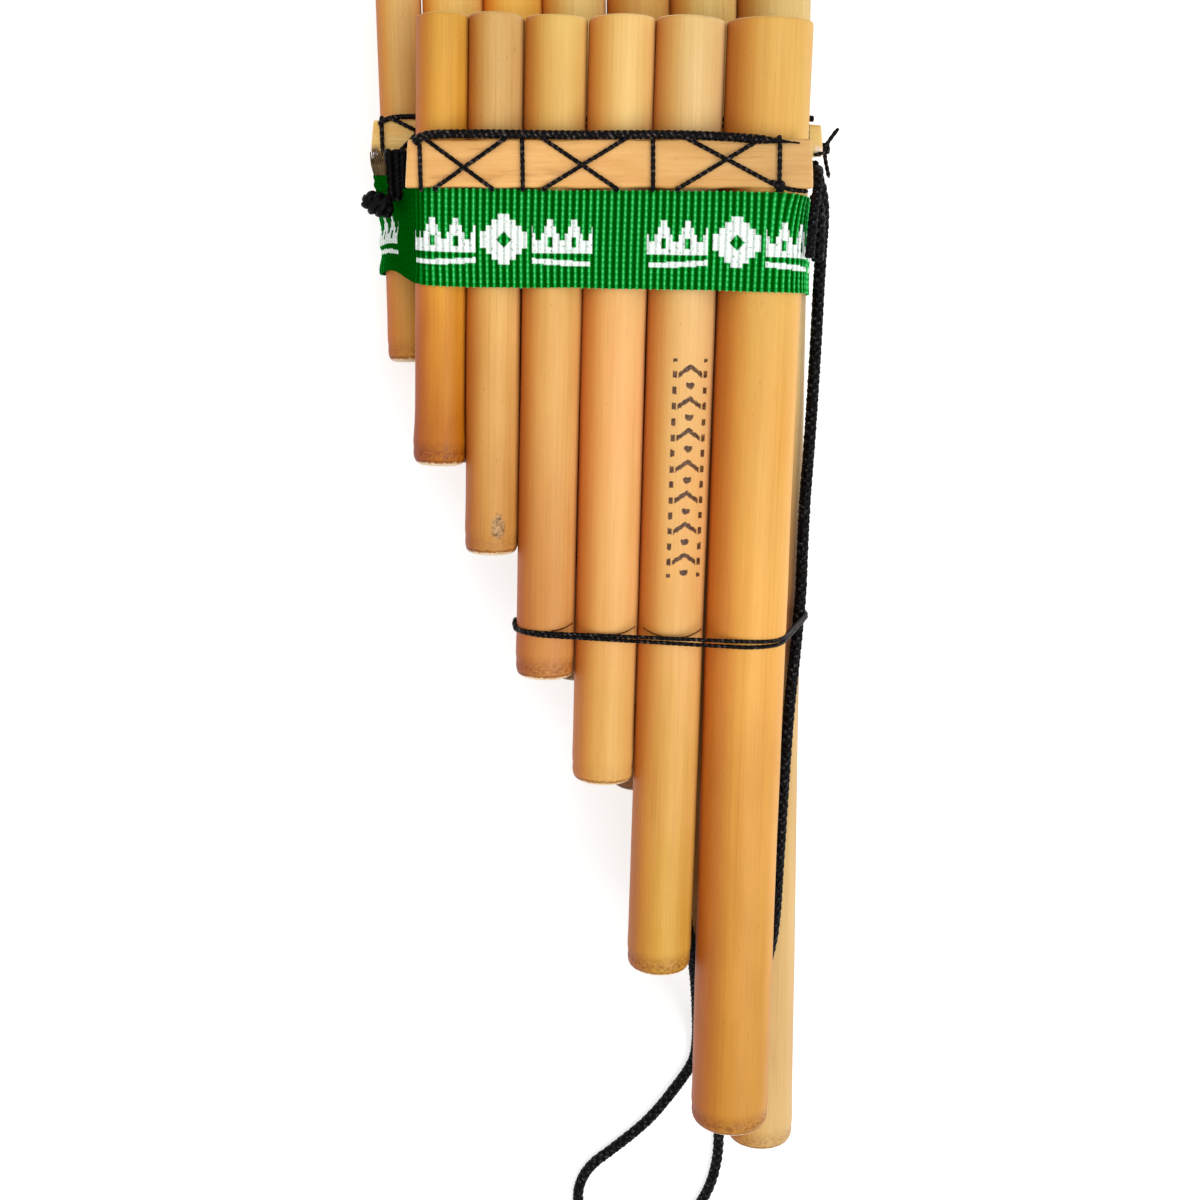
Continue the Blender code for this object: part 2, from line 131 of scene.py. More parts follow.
def add_mesh(name, points, faces, material, fields=None, smooth=True, sharp=None):
    """A piece from world points, with fields as its point attributes."""
    data = bpy.data.meshes.new(name)
    data.from_pydata(np.asarray(points).tolist(), [], faces)
    for field, values in (fields or {}).items():
        values = np.asarray(values, dtype=np.float32)
        kind, key = ("FLOAT_VECTOR", "vector") if values.ndim == 2 else ("FLOAT", "value")
        data.attributes.new(field, kind, "POINT").data.foreach_set(key, values.ravel())
    data.validate()
    data.materials.append(material)
    made = bpy.data.objects.new(name, data)
    bpy.context.collection.objects.link(made)
    if smooth:
        data.shade_smooth()
        if sharp:
            data.set_sharp_from_angle(angle=math.radians(sharp))
    return made


def settle(piece, slot, *nodes):
    """piece rides on the part's one body and stands for CAD nodes."""
    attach(piece, "root")
    if nodes:
        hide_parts(*nodes)
    return piece


def lay_tubes(name, parts, material, slot, *nodes):
    """A piece of tubes given in the instrument's frame."""
    return settle(add_tubes(name, parts, material, LAY), slot, *nodes)


def smooth_route(points, count):
    """count points, evenly spaced, on a smooth curve through points."""
    knots = [Vector(p) for p in points]
    knots = [2 * knots[0] - knots[1], *knots, 2 * knots[-1] - knots[-2]]
    fine = []
    for a, b, c, d in zip(knots, knots[1:], knots[2:], knots[3:], strict=False):
        for step in range(16):
            t = step / 16
            fine.append(
                0.5 * (2 * b + (c - a) * t + (2 * a - 5 * b + 4 * c - d) * t**2
                       + (3 * b - a - 3 * c + d) * t**3)
            )
    fine.append(knots[-2])
    return resample(np.array(fine), count)


def resample(line, count):
    """count points, evenly spaced along a fine line."""
    line = np.asarray(line, dtype=float)
    along = distances(line)
    want = np.linspace(0.0, along[-1], count)
    return np.stack([np.interp(want, along, line[:, k]) for k in range(3)], axis=1)


def distances(line):
    """How far along line each of its points is."""
    return np.concatenate([[0.0], np.cumsum(np.linalg.norm(np.diff(line, axis=0), axis=1))])


def route_length(line):
    return float(np.linalg.norm(np.diff(np.asarray(line), axis=0), axis=1).sum())


def relaxed(ring, times):
    """A closed line with its corners smoothed off."""
    for _ in range(times):
        ring = (np.roll(ring, 1, axis=0) + 2 * ring + np.roll(ring, -1, axis=0)) / 4
    return ring


def flipped(faces):
    return [face[::-1] for face in faces]


def carried_frames(line, closed=False):
    """Two sideways directions at each point of line, carried along without twist."""
    tangents = np.gradient(line, axis=0)
    if closed:
        tangents = np.roll(line, -1, axis=0) - np.roll(line, 1, axis=0)
    tangents /= np.linalg.norm(tangents, axis=1)[:, None]
    start = np.cross(tangents[0], [0.31, 0.17, 0.93])
    across = [start / np.linalg.norm(start)]
    for tangent in tangents[1:]:
        step = across[-1] - tangent * (across[-1] @ tangent)
        across.append(step / np.linalg.norm(step))
    across = np.array(across)
    return across, np.cross(tangents, across)


def tube_points(line, radii, sides, closed=False, lobes=0, depth=0.0, pitch=1.0, crest=0.5):
    """Rings round line, and how far each point stands out, from 0 to 1. With lobes the section
    is that of so many twisted plies."""
    across, other = carried_frames(line, closed)
    along = distances(line)
    if closed and lobes:
        turns = max(1, round(along[-1] / pitch))
        pitch = along[-1] * (1 + 1 / len(line)) / turns
    angle = np.linspace(0, math.tau, sides, endpoint=False)[None, :]
    radii = np.broadcast_to(np.asarray(radii, dtype=float), len(line))[:, None]
    if lobes:
        phase = lobes * (angle - math.tau * along[:, None] / pitch)
        ridge = np.abs(np.cos(phase / 2)) ** 0.8
        radii = radii * (1 - depth + depth * ridge)
    else:
        ridge = np.broadcast_to(np.broadcast_to(crest, len(line))[:, None], (len(line), sides))
        radii = np.repeat(radii, sides, axis=1)
    rings = (line[:, None, :] + across[:, None, :] * (radii * np.cos(angle))[..., None]
             + other[:, None, :] * (radii * np.sin(angle))[..., None])
    return rings, ridge


def tube(line, radii, sides, closed=False, start=0, **twist):
    """(points, faces, ridges) of a tube with closed ends."""
    rings, ridge = tube_points(np.asarray(line, dtype=float), radii, sides, closed, **twist)
    count = len(rings)
    faces = grid_faces(count, sides, True, start)
    if closed:
        last = start + (count - 1) * sides
        for side in range(sides):
            after = (side + 1) % sides
            faces.append([last + side, last + after, start + after, start + side])
    else:
        faces.append([start + side for side in range(sides)][::-1])
        faces.append([start + (count - 1) * sides + side for side in range(sides)])
    return rings.reshape(-1, 3), faces, ridge.reshape(-1)


def add_tubes(name, parts, material, matrix):
    """One piece of several tubes. Each part is (line, radius, sides, options)."""
    points, faces, ridges, total = [], [], [], 0
    for line, radius, sides, options in parts:
        more, quads, ridge = tube(line, radius, sides, start=total, **options)
        points.append(more)
        ridges.append(ridge)
        faces += quads
        total += len(more)
    return add_mesh(name, placed(np.concatenate(points), matrix), faces, material,
                    {"ridge": np.concatenate(ridges)})


def twisted(line, diameter, plies=2, pitch=None, depth=0.3, spacing=0.3, sides=12, taper=0.0):
    """A part for add_tubes: a twisted thread or cord along a rounded line."""
    count = max(8, int(route_length(line) / spacing))
    line = resample(line, count)
    radii = np.full(count, diameter / 2)
    ends = min(count // 3, 3)
    radii[:ends] *= np.linspace(0.6, 1.0, ends)
    if taper:
        reach = np.linspace(0, 1, count)
        radii *= np.clip((1 - reach) / taper, 0.22, 1.0)
    else:
        radii[-ends:] *= np.linspace(1.0, 0.6, ends)
    return line, radii, sides, {"lobes": plies, "depth": depth, "pitch": pitch or diameter * 2.6}


def rounded(points, per_span=14):
    """A fine smooth line through points."""
    return smooth_route(points, per_span * (len(points) - 1) + 1)


# ---------------------------------------------------------------- material helpers
def linear(colour):
    """An 8-bit display colour as linear light."""
    out = []
    for c in colour:
        c /= 255.0
        out.append(c / 12.92 if c <= 0.04045 else ((c + 0.055) / 1.055) ** 2.4)
    return (*out, 1.0)


class Shade:
    """A small builder for one Principled material's node tree."""

    def __init__(self, name, roughness=0.5):
        self.material = bpy.data.materials.new(name)
        self.material.use_nodes = True
        self.tree = self.material.node_tree
        self.shader = self.tree.nodes["Principled BSDF"]
        self.shader.inputs["Roughness"].default_value = roughness

    def node(self, kind, **values):
        made = self.tree.nodes.new(kind)
        for key, value in values.items():
            if key in made.inputs:
                self.feed(made.inputs[key], value)
            else:
                setattr(made, key, value)
        return made

    def feed(self, socket, value):
        if isinstance(value, bpy.types.NodeSocket):
            self.tree.links.new(value, socket)
        else:
            socket.default_value = value

    def field(self, name):
        return self.node("ShaderNodeAttribute", attribute_name=name)

    def stretch(self, vector, scale, offset=(0, 0, 0)):
        made = self.node("ShaderNodeMapping", vector_type="POINT")
        self.feed(made.inputs["Vector"], vector)
        made.inputs["Scale"].default_value = scale
        made.inputs["Location"].default_value = offset
        return made.outputs[0]

    def noise(self, vector, scale=1.0, detail=3.0, roughness=0.55):
        made = self.node("ShaderNodeTexNoise")
        self.feed(made.inputs["Vector"], vector)
        made.inputs["Scale"].default_value = scale
        made.inputs["Detail"].default_value = detail
        made.inputs["Roughness"].default_value = roughness
        return made.outputs["Fac"]

    def ramp(self, value, stops):
        made = self.node("ShaderNodeValToRGB")
        self.feed(made.inputs[0], value)
        elements = made.color_ramp.elements
        while len(elements) < len(stops):
            elements.new(0.5)
        for element, (place, colour) in zip(elements, stops, strict=True):
            element.position = place
            element.color = colour
        return made.outputs[0]

    def math(self, operation, a, b=0.0, c=0.0, clamp=False):
        made = self.node("ShaderNodeMath", operation=operation, use_clamp=clamp)
        for socket, value in zip(made.inputs, (a, b, c), strict=False):
            self.feed(socket, value)
        return made.outputs[0]

    def span(self, value, low, high, to_low=0.0, to_high=1.0):
        made = self.node("ShaderNodeMapRange", clamp=True)
        for key, number in (("Value", value), ("From Min", low), ("From Max", high),
                            ("To Min", to_low), ("To Max", to_high)):
            self.feed(made.inputs[key], number)
        return made.outputs[0]

    def mix(self, share, a, b, blend="MIX"):
        made = self.node("ShaderNodeMix", data_type="RGBA", blend_type=blend)
        self.feed(made.inputs[0], share)
        self.feed(made.inputs[6], a)
        self.feed(made.inputs[7], b)
        return made.outputs[2]

    def split(self, vector):
        made = self.node("ShaderNodeSeparateXYZ")
        self.feed(made.inputs[0], vector)
        return made.outputs

    def bump(self, height, distance):
        made = self.node("ShaderNodeBump")
        made.inputs["Distance"].default_value = distance
        self.feed(made.inputs["Height"], height)
        self.feed(self.shader.inputs["Normal"], made.outputs[0])

    def tint(self, share, base, factor):
        """base times a colour factor, by a share."""
        return self.mix(share, base, (*factor, 1.0), "MULTIPLY")

    def mul(self, a, b):
        return self.math("MULTIPLY", a, b)

    def cloud(self, vector, scale, offset=(0, 0, 0), detail=2.0, roughness=0.55):
        """Noise over a vector stretched by a scale."""
        return self.noise(self.stretch(vector, scale, offset), 1.0, detail, roughness)

    def put(self, name, value):
        """Sets one of the shader's own sockets."""
        self.shader.inputs[name].default_value = value

    def finish(self, colour, roughness=None):
        self.feed(self.shader.inputs["Base Color"], colour)
        if roughness is not None:
            self.feed(self.shader.inputs["Roughness"], roughness)
        return self.material

# Painted light and shade across each pipe: the left flank darker and redder, a lighter band near
# the right edge.
FLANK_PAINTED_LIGHT_AND_SHADE = [  # (across the pipe from left to right, colour factor)
    (0.0, (0.66, 0.34, 0.16)), (0.05, (0.70, 0.38, 0.18)), (0.16, (0.82, 0.56, 0.28)),
    (0.26, (0.88, 0.72, 0.48)), (0.34, (0.94, 0.87, 0.75)), (0.52, (1.0, 1.0, 1.0)),
    (0.80, (1.0, 1.0, 1.04)), (0.93, (1.10, 1.12, 1.25)), (1.0, (1.0, 0.92, 0.86)),
]


def burnt_frieze(s, cane, along, low, high, side):
    """Where a pipe is burnt with a column of generic chevrons, dots and ticks."""
    beside = s.math("ABSOLUTE", s.math("SUBTRACT", cane[0], side))
    wobble = s.noise(s.node("ShaderNodeCombineXYZ", X=cane[0], Y=along).outputs[0], 1.3, 3.0)
    down = s.math("ADD", along, s.span(wobble, 0.3, 0.7, -0.22, 0.22))
    cell = s.math("FRACT", s.math("DIVIDE", s.math("MULTIPLY_ADD", beside, -0.7, down), 7.0))
    mark = s.span(s.math("ABSOLUTE", s.math("SUBTRACT", cell, 0.5)), 0.100, 0.065)
    mark = s.mul(mark, s.span(beside, 2.9, 2.6))
    row = s.mul(s.math("SUBTRACT", s.math("FRACT", s.math(
        "DIVIDE", down, 7.0)), 0.06), 7.0)
    dot = s.math("ADD", s.math("POWER", row, 2.0), s.math("POWER", beside, 2.0))
    mark = s.math("MAXIMUM", mark, s.span(dot, 1.15, 0.75))
    tick = s.math("ABSOLUTE", s.math("SUBTRACT", s.math("FRACT", s.math("DIVIDE", down, 3.5)), 0.5))
    edge = s.span(s.math("ABSOLUTE", s.math("SUBTRACT", beside, 3.5)), 0.55, 0.38)
    mark = s.math("MAXIMUM", mark, s.mul(s.span(tick, 0.24, 0.20), edge))
    inside = s.mul(s.span(along, low, low + 0.3), s.span(along, high, high - 0.3))
    front = s.span(cane[2], 0.5, 1.0)
    share = s.mul(s.mul(mark, inside), front)
    return s.mul(share, s.span(wobble, 0.25, 0.6, 0.80, 1.0))


def cane_material(name, tones, seed, fleck=0.5, streak=0.5, mottle=0.5, burnt=None, scar=None,
                  dark=None):
    """Polished cane: long fibres, soft mottling, specks, a pale sanded rim, painted light and shade
    on the flanks and a speckled node ring. tones are its colours near the mouth, midway and at the
    foot; dark, where given, darkens a band of the pipe's front with painted shade. The fields are
    millimetres from the pipe's axis and mouth."""
    s = Shade(name, 0.42)
    cane = s.field("cane").outputs["Vector"]
    spot = s.split(cane)
    extra = s.split(s.field("zone").outputs["Vector"])  # from the foot, inside, from the mouth
    offset = (seed * 13.7, seed * 5.3, seed * 7.9)
    drift = s.cloud(cane, (0.10, 0.03, 0.10), offset)
    reach = s.math("ADD", extra[2], s.span(drift, 0.3, 0.7, -0.10, 0.10))
    base = s.ramp(reach, [(0.06, linear(tones[0])), (0.5, linear(tones[1])),
                          (0.94, linear(tones[2]))])
    broad = s.cloud(cane, (0.16, 0.016, 0.16), offset, detail=3.0)
    base = s.tint(s.span(broad, 0.42, 0.72, 0.0, 0.55), base, (0.86, 0.74, 0.52))
    base = s.tint(s.span(broad, 0.42, 0.25, 0.0, 0.5), base, (1.05, 1.10, 1.18))
    fibres = s.cloud(cane, (1.5, 0.012, 1.5), offset, detail=6.0, roughness=0.62)
    base = s.tint(s.span(fibres, 0.28, 0.50, 0.6 * streak, 0.0), base, (0.72, 0.54, 0.36))
    base = s.tint(s.span(fibres, 0.52, 0.78, 0.0, 0.6 * streak), base, (1.08, 1.16, 1.32))
    fine = s.cloud(cane, (7.0, 0.05, 7.0), offset)
    base = s.tint(s.span(fine, 0.60, 0.74, 0.0, 0.35), base, (0.62, 0.46, 0.30))
    base = s.tint(s.span(fine, 0.42, 0.26, 0.0, 0.25), base, (1.10, 1.18, 1.30))
    specks = s.cloud(cane, (1.9, 0.7, 1.9), offset, detail=2.0, roughness=0.5)
    base = s.tint(s.span(specks, 0.70, 0.76, 0.0, fleck), base, (0.46, 0.34, 0.24))
    # Painted light and shade on the flanks: darker and redder to the left, lighter near the right.
    size = s.math("SQRT", s.math("ADD", s.math("POWER", spot[0], 2.0),
                                 s.math("POWER", spot[2], 2.0)))
    lateral = s.math("DIVIDE", spot[0], s.math("MAXIMUM", size, 0.1))
    lateral = s.math("MULTIPLY_ADD", lateral, 0.5, 0.5)
    base = s.mix(s.span(extra[1], 0.25, 0.1), base, s.ramp(
        lateral, [(place, (*factor, 1.0)) for place, factor in FLANK_PAINTED_LIGHT_AND_SHADE]), "MULTIPLY")
    # The foot: a thin pale edge, a thin dark ring, then brown mottling.
    speckle = s.cloud(cane, (1.1, 1.4, 1.1), offset, detail=4.0, roughness=0.7)
    uneven = s.math("ADD", extra[0], s.span(speckle, 0.3, 0.7, -0.35, 0.35))
    above = s.mul(s.span(uneven, 1.4, 2.2), s.span(uneven, 6.4, 3.0))
    blot = s.mul(above, s.span(speckle, 0.36, 0.60, 0.15, 1.0))
    base = s.tint(s.mul(blot, mottle), base, (0.46, 0.32, 0.22))
    ring = s.mul(s.span(uneven, 0.75, 1.05), s.span(uneven, 1.75, 1.3))
    base = s.tint(s.mul(ring, 0.75), base, (0.34, 0.22, 0.14))
    chalk = s.mul(s.span(uneven, 1.0, 0.6), 0.85)
    base = s.mix(chalk, base, linear((226, 208, 176)))
    # The rim and the bore.
    base = s.mix(s.span(extra[1], 0.2, 0.5, 0.0, 0.85), base, linear((240, 205, 148)))
    pores = s.cloud(cane, (3.4, 0.2, 3.4), offset, detail=3.0)
    base = s.mix(s.mul(s.span(extra[1], 0.6, 1.0), 0.88), base, linear((128, 84, 42)))
    base = s.mix(s.mul(s.span(extra[1], 0.2, 0.5), s.span(pores, 0.5, 0.7, 0.0, 0.4)),
                 base, linear((140, 92, 46)))
    # Painted shade: a band of the pipe's front is darkened where it is seen in shade.
    if dark:
        rise, full, fall, factor = dark
        band = s.mul(s.span(spot[1], rise, full), s.span(spot[1], fall, full + 6.0))
        base = s.tint(s.mul(band, s.span(spot[2], -4.0, 0.0)), base, factor)
    if burnt:
        share = burnt_frieze(s, spot, spot[1], *burnt)
        base = s.mix(share, base, linear((66, 34, 20)))
    if scar:
        far_x = s.math("DIVIDE", s.math("SUBTRACT", spot[0], scar[0]), 1.5)
        far_y = s.math("DIVIDE", s.math("SUBTRACT", spot[1], scar[1]), 2.6)
        away = s.math("ADD", s.math("POWER", far_x, 2.0), s.math("POWER", far_y, 2.0))
        away = s.math("ADD", away, s.span(speckle, 0.3, 0.7, -0.5, 0.5))
        share = s.mul(s.span(away, 1.5, 0.6), s.span(spot[2], 0.0, 0.5, 0.0, 0.8))
        base = s.mix(share, base, s.mix(s.span(speckle, 0.4, 0.6), linear((84, 56, 28)),
                                        linear((186, 148, 100))))
    grain = s.math("ADD", s.mul(fibres, 0.6), s.mul(fine, 0.4))
    s.bump(grain, 0.00008)
    s.put("Specular IOR Level", 0.3)
    s.put("Coat Weight", 0.05)
    s.put("Coat Roughness", 0.4)
    return s.finish(base, s.span(fibres, 0.3, 0.7, 0.46, 0.6))


def slat_material(name, low, high):
    """Split cane across the pipes, between two tones: straight grain along X, faint stains,
    a right end darkened with painted shade, one dark and one bruised corner, and paler cut ends."""
    s = Shade(name, 0.55)
    grain = s.field("grain").outputs["Vector"]
    spot = s.split(grain)
    broad = s.cloud(grain, (0.05, 0.30, 0.30), detail=3.0)
    base = s.ramp(broad, [(0.3, linear(low)), (0.7, linear(high))])
    fibres = s.cloud(grain, (0.04, 2.4, 2.4), detail=6.0, roughness=0.65)
    base = s.tint(s.span(fibres, 0.30, 0.5, 0.40, 0.0), base, (0.72, 0.60, 0.44))
    base = s.tint(s.span(fibres, 0.55, 0.8, 0.0, 0.40), base, (1.06, 1.14, 1.28))
    stain = s.cloud(grain, (0.07, 0.5, 0.5), (3.1, 7.7, 1.3), detail=4.0, roughness=0.6)
    base = s.tint(s.span(stain, 0.58, 0.72, 0.0, 0.6), base, (0.66, 0.54, 0.42))
    pits = s.cloud(grain, (0.9, 2.6, 2.6), (1.7, 0.4, 2.9))
    base = s.tint(s.span(pits, 0.68, 0.76, 0.0, 0.4), base, (0.45, 0.34, 0.24))
    # Painted shade: darker from the middle towards the right end.
    base = s.tint(s.span(spot[0], 0.0, 36.0), base, (0.82, 0.88, 0.93))
    rough = s.cloud(grain, (1.3, 1.3, 1.3), detail=4.0, roughness=0.7)
    corner = s.mul(s.span(spot[0], -49.9, -50.7), s.span(spot[1], 108.0, 106.5))
    corner = s.mul(corner, s.span(rough, 0.35, 0.5, 0.5, 1.0))
    base = s.mix(corner, base, linear((96, 72, 48)))
    bruise = s.mul(s.span(spot[0], 49.0, 49.5), s.span(spot[1], 108.6, 108.0))
    bruise = s.mul(bruise, s.span(rough, 0.38, 0.52, 0.35, 0.95))
    base = s.mix(bruise, base, linear((232, 212, 196)))
    cut = s.field("cut").outputs["Fac"]
    dots = s.cloud(grain, (0.5, 4.0, 4.0))
    pith = s.mix(s.span(dots, 0.4, 0.65), linear((248, 220, 168)), linear((206, 158, 96)))
    base = s.mix(cut, base, pith)
    s.bump(fibres, 0.00012)
    return s.finish(base, s.span(fibres, 0.3, 0.7, 0.5, 0.6))


def thread_material(name, shine, glints):
    """Black waxed fibre. glints is the colour of a painted highlight on the plies' crests, where
    they catch the light.
    """
    s = Shade(name, shine)
    here = s.node("ShaderNodeTexCoord").outputs["Object"]
    fuzz = s.noise(here, 2600.0, 3.0, 0.6)
    base = s.ramp(fuzz, [(0.42, (0.0008, 0.0006, 0.0008, 1)), (0.70, (0.0040, 0.0030, 0.0034, 1))])
    strands = s.noise(here, 1500.0, 2.0, 0.5)
    # Painted highlight: glints on the crests of the plies.
    glint = s.mul(s.span(s.field("ridge").outputs["Fac"], 0.62, 0.98),
                   s.span(strands, 0.50, 0.66))
    base = s.mix(glint, base, (*glints, 1.0))
    s.bump(fuzz, 0.00008)
    s.put("Specular IOR Level", 0.07)
    return s.finish(base, s.span(fuzz, 0.3, 0.7, shine - 0.12, shine + 0.1))


def ribbon_material():
    """Green grosgrain: ribs with painted highlights on crests, painted shade in grooves, and a worn
    white print.
    """
    s = Shade("grosgrain", 0.6)
    place = s.field("weave").outputs["Vector"]  # along, across, rib height
    weave = s.split(place)
    warp = s.math("SINE", s.mul(weave[1], math.tau / 0.42))
    yarn = s.cloud(place, (5.0, 1.6, 0.0), detail=3.0)
    crest = s.math("ADD", weave[2], s.mul(warp, 0.05))
    crest = s.math("ADD", crest, s.span(yarn, 0.3, 0.7, -0.14, 0.14))
    # Painted light and shade: dark green in the grooves, pale green on the ribs' crests.
    base = s.ramp(crest, [(0.06, linear((0, 66, 2))), (0.34, linear((0, 110, 26))),
                          (0.66, linear((24, 156, 62))), (0.95, linear((84, 214, 126)))])
    tone = s.cloud(place, (0.12, 0.2, 0.0), detail=3.0)
    base = s.tint(s.span(tone, 0.35, 0.7, 0.0, 0.5), base, (0.6, 0.82, 0.6))
    ink = s.field("ink").outputs["Fac"]
    wear = s.cloud(place, (1.6, 1.1, 0.0), (4.0, 2.0, 0.0), detail=4.0, roughness=0.65)
    cover = s.mul(s.span(crest, 0.02, 0.3, 0.55, 1.0), s.span(wear, 0.30, 0.44))
    share = s.math("MULTIPLY", ink, cover, clamp=True)
    base = s.mix(share, base, linear((244, 251, 247)))
    s.bump(s.math("ADD", s.mul(warp, 0.3), yarn), 0.00006)
    s.put("Specular IOR Level", 0.0)
    return s.finish(base, s.span(yarn, 0.3, 0.7, 0.5, 0.7))


# ---------------------------------------------------------------- pipes
def smooth_noise(along, phase, period):
    """A gentle repeatable wander of at most about 1."""
    t = np.asarray(along) / period
    return (np.sin(t * 2.1 + phase * 3.7) + 0.6 * np.sin(t * 4.7 + phase * 1.3)
            + 0.35 * np.sin(t * 9.1 + phase * 7.1)) / 1.6


FOOT_PROFILE = [  # (distance from the foot's end, share of the radius)
    (0.0, 0.03), (0.0, 0.45), (0.04, 0.66), (0.14, 0.77), (0.32, 0.845), (0.6, 0.905),
    (0.95, 0.943), (1.4, 0.970), (1.95, 0.988), (2.6, 0.998), (3.3, 0.996), (3.9, 0.990),
    (4.4, 0.995), (5.0, 1.006), (5.8, 1.012), (7.2, 1.010), (9.5, 1.004), (12.5, 1.0),
]
TOUCH = 0.13  # how much wider than the CAD a pipe is drawn, which closes the gaps between them
FAR_FROM_FOOT = 60.0


PIPE_SIDES = 72


def build_pipe(rank, k, material, flare=0.0):
    """One cane tube, open at the mouth. flare widens its foot by so many millimetres."""
    sides = PIPE_SIDES
    radius, length = rank.diameters[k] / 2 + TOUCH, rank.lengths[k]
    bore = radius - WALL_BASE - WALL_SHARE * 2 * radius
    depth = length - NODE_THICKNESS
    # Rows of (from the mouth, radius, share that is inside, from the foot).
    outline = [(length - up, radius * share + flare * math.exp(-((up - 4.0) / 5.0) ** 2)
                * min(1, up / 2), 0.0, up) for up, share in FOOT_PROFILE]
    outline += [(place, radius, 0.0, length - place)
                for place in np.arange(length - 16.0, 2.0, -2.5)]
    rim = [(0.9, radius, 0.0), (0.45, radius - 0.04, 0.0), (0.15, radius - 0.14, 0.15),
           (0.0, radius - 0.34, 0.5), (0.0, (radius + bore) / 2, 0.5), (0.0, bore + 0.34, 0.5),
           (0.15, bore + 0.12, 0.6), (0.5, bore, 0.9), (1.5, bore, 1.0)]
    inner = [(place, bore, 1.0) for place in np.linspace(6.0, depth - 3.0, 12)]
    inner += [(depth - 0.9, bore, 1.0), (depth - 0.2, bore - 0.5, 1.0), (depth, bore * 0.6, 1.0),
              (depth, 0.05, 1.0)]
    outline += [(*row, FAR_FROM_FOOT) for row in rim + inner]
    along, size, inside, foot = np.array(outline).T
    angle = np.linspace(0, math.tau, sides, endpoint=False)
    phase = k * 2.3 + (0 if rank.name == "ira" else 11)
    oval = 1 + 0.006 * np.cos(2 * (angle - phase))[None, :]
    swell = 1 + 0.0045 * smooth_noise(along, phase, 34.0)[:, None]
    lumps = 0.035 * np.sin(3 * angle[None, :] + along[:, None] / 17 + phase)
    outer = (inside < 0.6).astype(float)[:, None]
    share = np.clip(size / radius, 0, 1)[:, None]
    reach = size[:, None] * (1 + (oval * swell - 1) * outer) + lumps * outer * share
    bow = LONG_PIPE_BOW if rank.name == "ira" and k == len(rank.lengths) - 1 else 0.0
    shift = bow * (along / length) ** 2 + 0.07 * smooth_noise(along, phase + 2, 60.0)
    slant = 0.22 * np.cos(angle - phase)[None, :] * np.exp(-along / 1.5)[:, None]
    x, z = reach * np.cos(angle), reach * np.sin(angle)
    points = np.stack([rank.axes_x[k] + shift[:, None] + x, slant - along[:, None],
                       rank.axis_z(k) + z], axis=-1)
    cane = np.stack([x, np.broadcast_to(along[:, None], x.shape), z], axis=-1)
    zone = np.stack([np.broadcast_to(v[:, None], x.shape)
                     for v in (foot, inside, along / length)], axis=-1)
    rows = len(along)
    faces = flipped(grid_faces(rows, sides))
    faces.append(list(range(sides)))
    faces.append([(rows - 1) * sides + side for side in range(sides)][::-1])
    name = f"cane_{rank.name}_{k + 1}"
    made = add_mesh(name, placed(points.reshape(-1, 3), rank.place), faces, material,
                    {"cane": cane.reshape(-1, 3), "zone": zone.reshape(-1, 3)})
    node = f"{rank.name}_pipe_{k + 1}"
    return settle(made, node, node)


CANE = {  # (colours at the mouth, midway and at the foot), flecks, streaks, mottled foot
    "ira": [
        (((205, 151, 55), (225, 158, 48), (179, 105, 8)), 0.3, 0.55, 0.9),
        (((204, 162, 96), (221, 171, 96), (192, 135, 61)), 0.5, 0.6, 0.4),
        (((216, 177, 96), (219, 167, 94), (198, 134, 66)), 0.35, 0.5, 0.9),
        (((226, 186, 112), (230, 171, 104), (216, 167, 90)), 0.3, 0.45, 0.2),
        (((221, 187, 125), (225, 172, 103), (202, 153, 60)), 0.35, 0.5, 0.9),
        (((214, 168, 84), (223, 163, 74), (191, 133, 43)), 0.4, 0.5, 0.9),
    ],
    "arca": [
        (((233, 190, 115), (223, 174, 97), (216, 150, 53)), 0.4, 0.6, 0.5),
        (((247, 200, 107), (237, 183, 96), (227, 169, 87)), 0.4, 0.5, 0.5),
        (((254, 195, 81), (246, 184, 76), (236, 172, 74)), 0.4, 0.5, 0.5),
        (((244, 208, 127), (232, 196, 119), (221, 183, 110)), 0.5, 0.5, 0.5),
        (((225, 174, 90), (216, 164, 84), (206, 155, 78)), 0.5, 0.6, 0.5),
        (((228, 193, 114), (221, 182, 106), (214, 175, 101)), 0.5, 0.5, 0.6),
        (((209, 177, 108), (207, 170, 104), (203, 165, 102)), 0.4, 0.5, 0.6),
    ],
}
# In millimetres from a pipe's axis and mouth: the burnt frieze's start, end and side; the bud
# scar's middle; and where the front of a back pipe is darkened with painted shade, the shade of
# the gaps that it is seen through, and for the longest back pipe the shade beside the longest
# front pipe, as (from, fully from, until, colour factor).
BURNT = {"ira_5": (71.6, 121.0, 1.7)}
SCAR = {"ira_2": (1.4, 110.6)}
PAINTED_GAP_SHADE = {f"arca_{k}": (36.0, 46.0, 400.0, (0.11, 0.05, 0.05)) for k in range(2, 7)}
PAINTED_GAP_SHADE["arca_7"] = (92.0, 150.0, 174.0, (0.36, 0.20, 0.11))
for rank in (arca, ira):
    for k, (tones, fleck, streak, mottle) in enumerate(CANE[rank.name]):
        seed = k + (1 if rank.name == "ira" else 11)
        tag = f"{rank.name}_{k + 1}"
        cane = cane_material(f"cane_{tag}", tones, seed, fleck, streak, mottle,
                             BURNT.get(tag), SCAR.get(tag), PAINTED_GAP_SHADE.get(tag))
        build_pipe(rank, k, cane, 0.3 if tag == "ira_1" else 0.0)


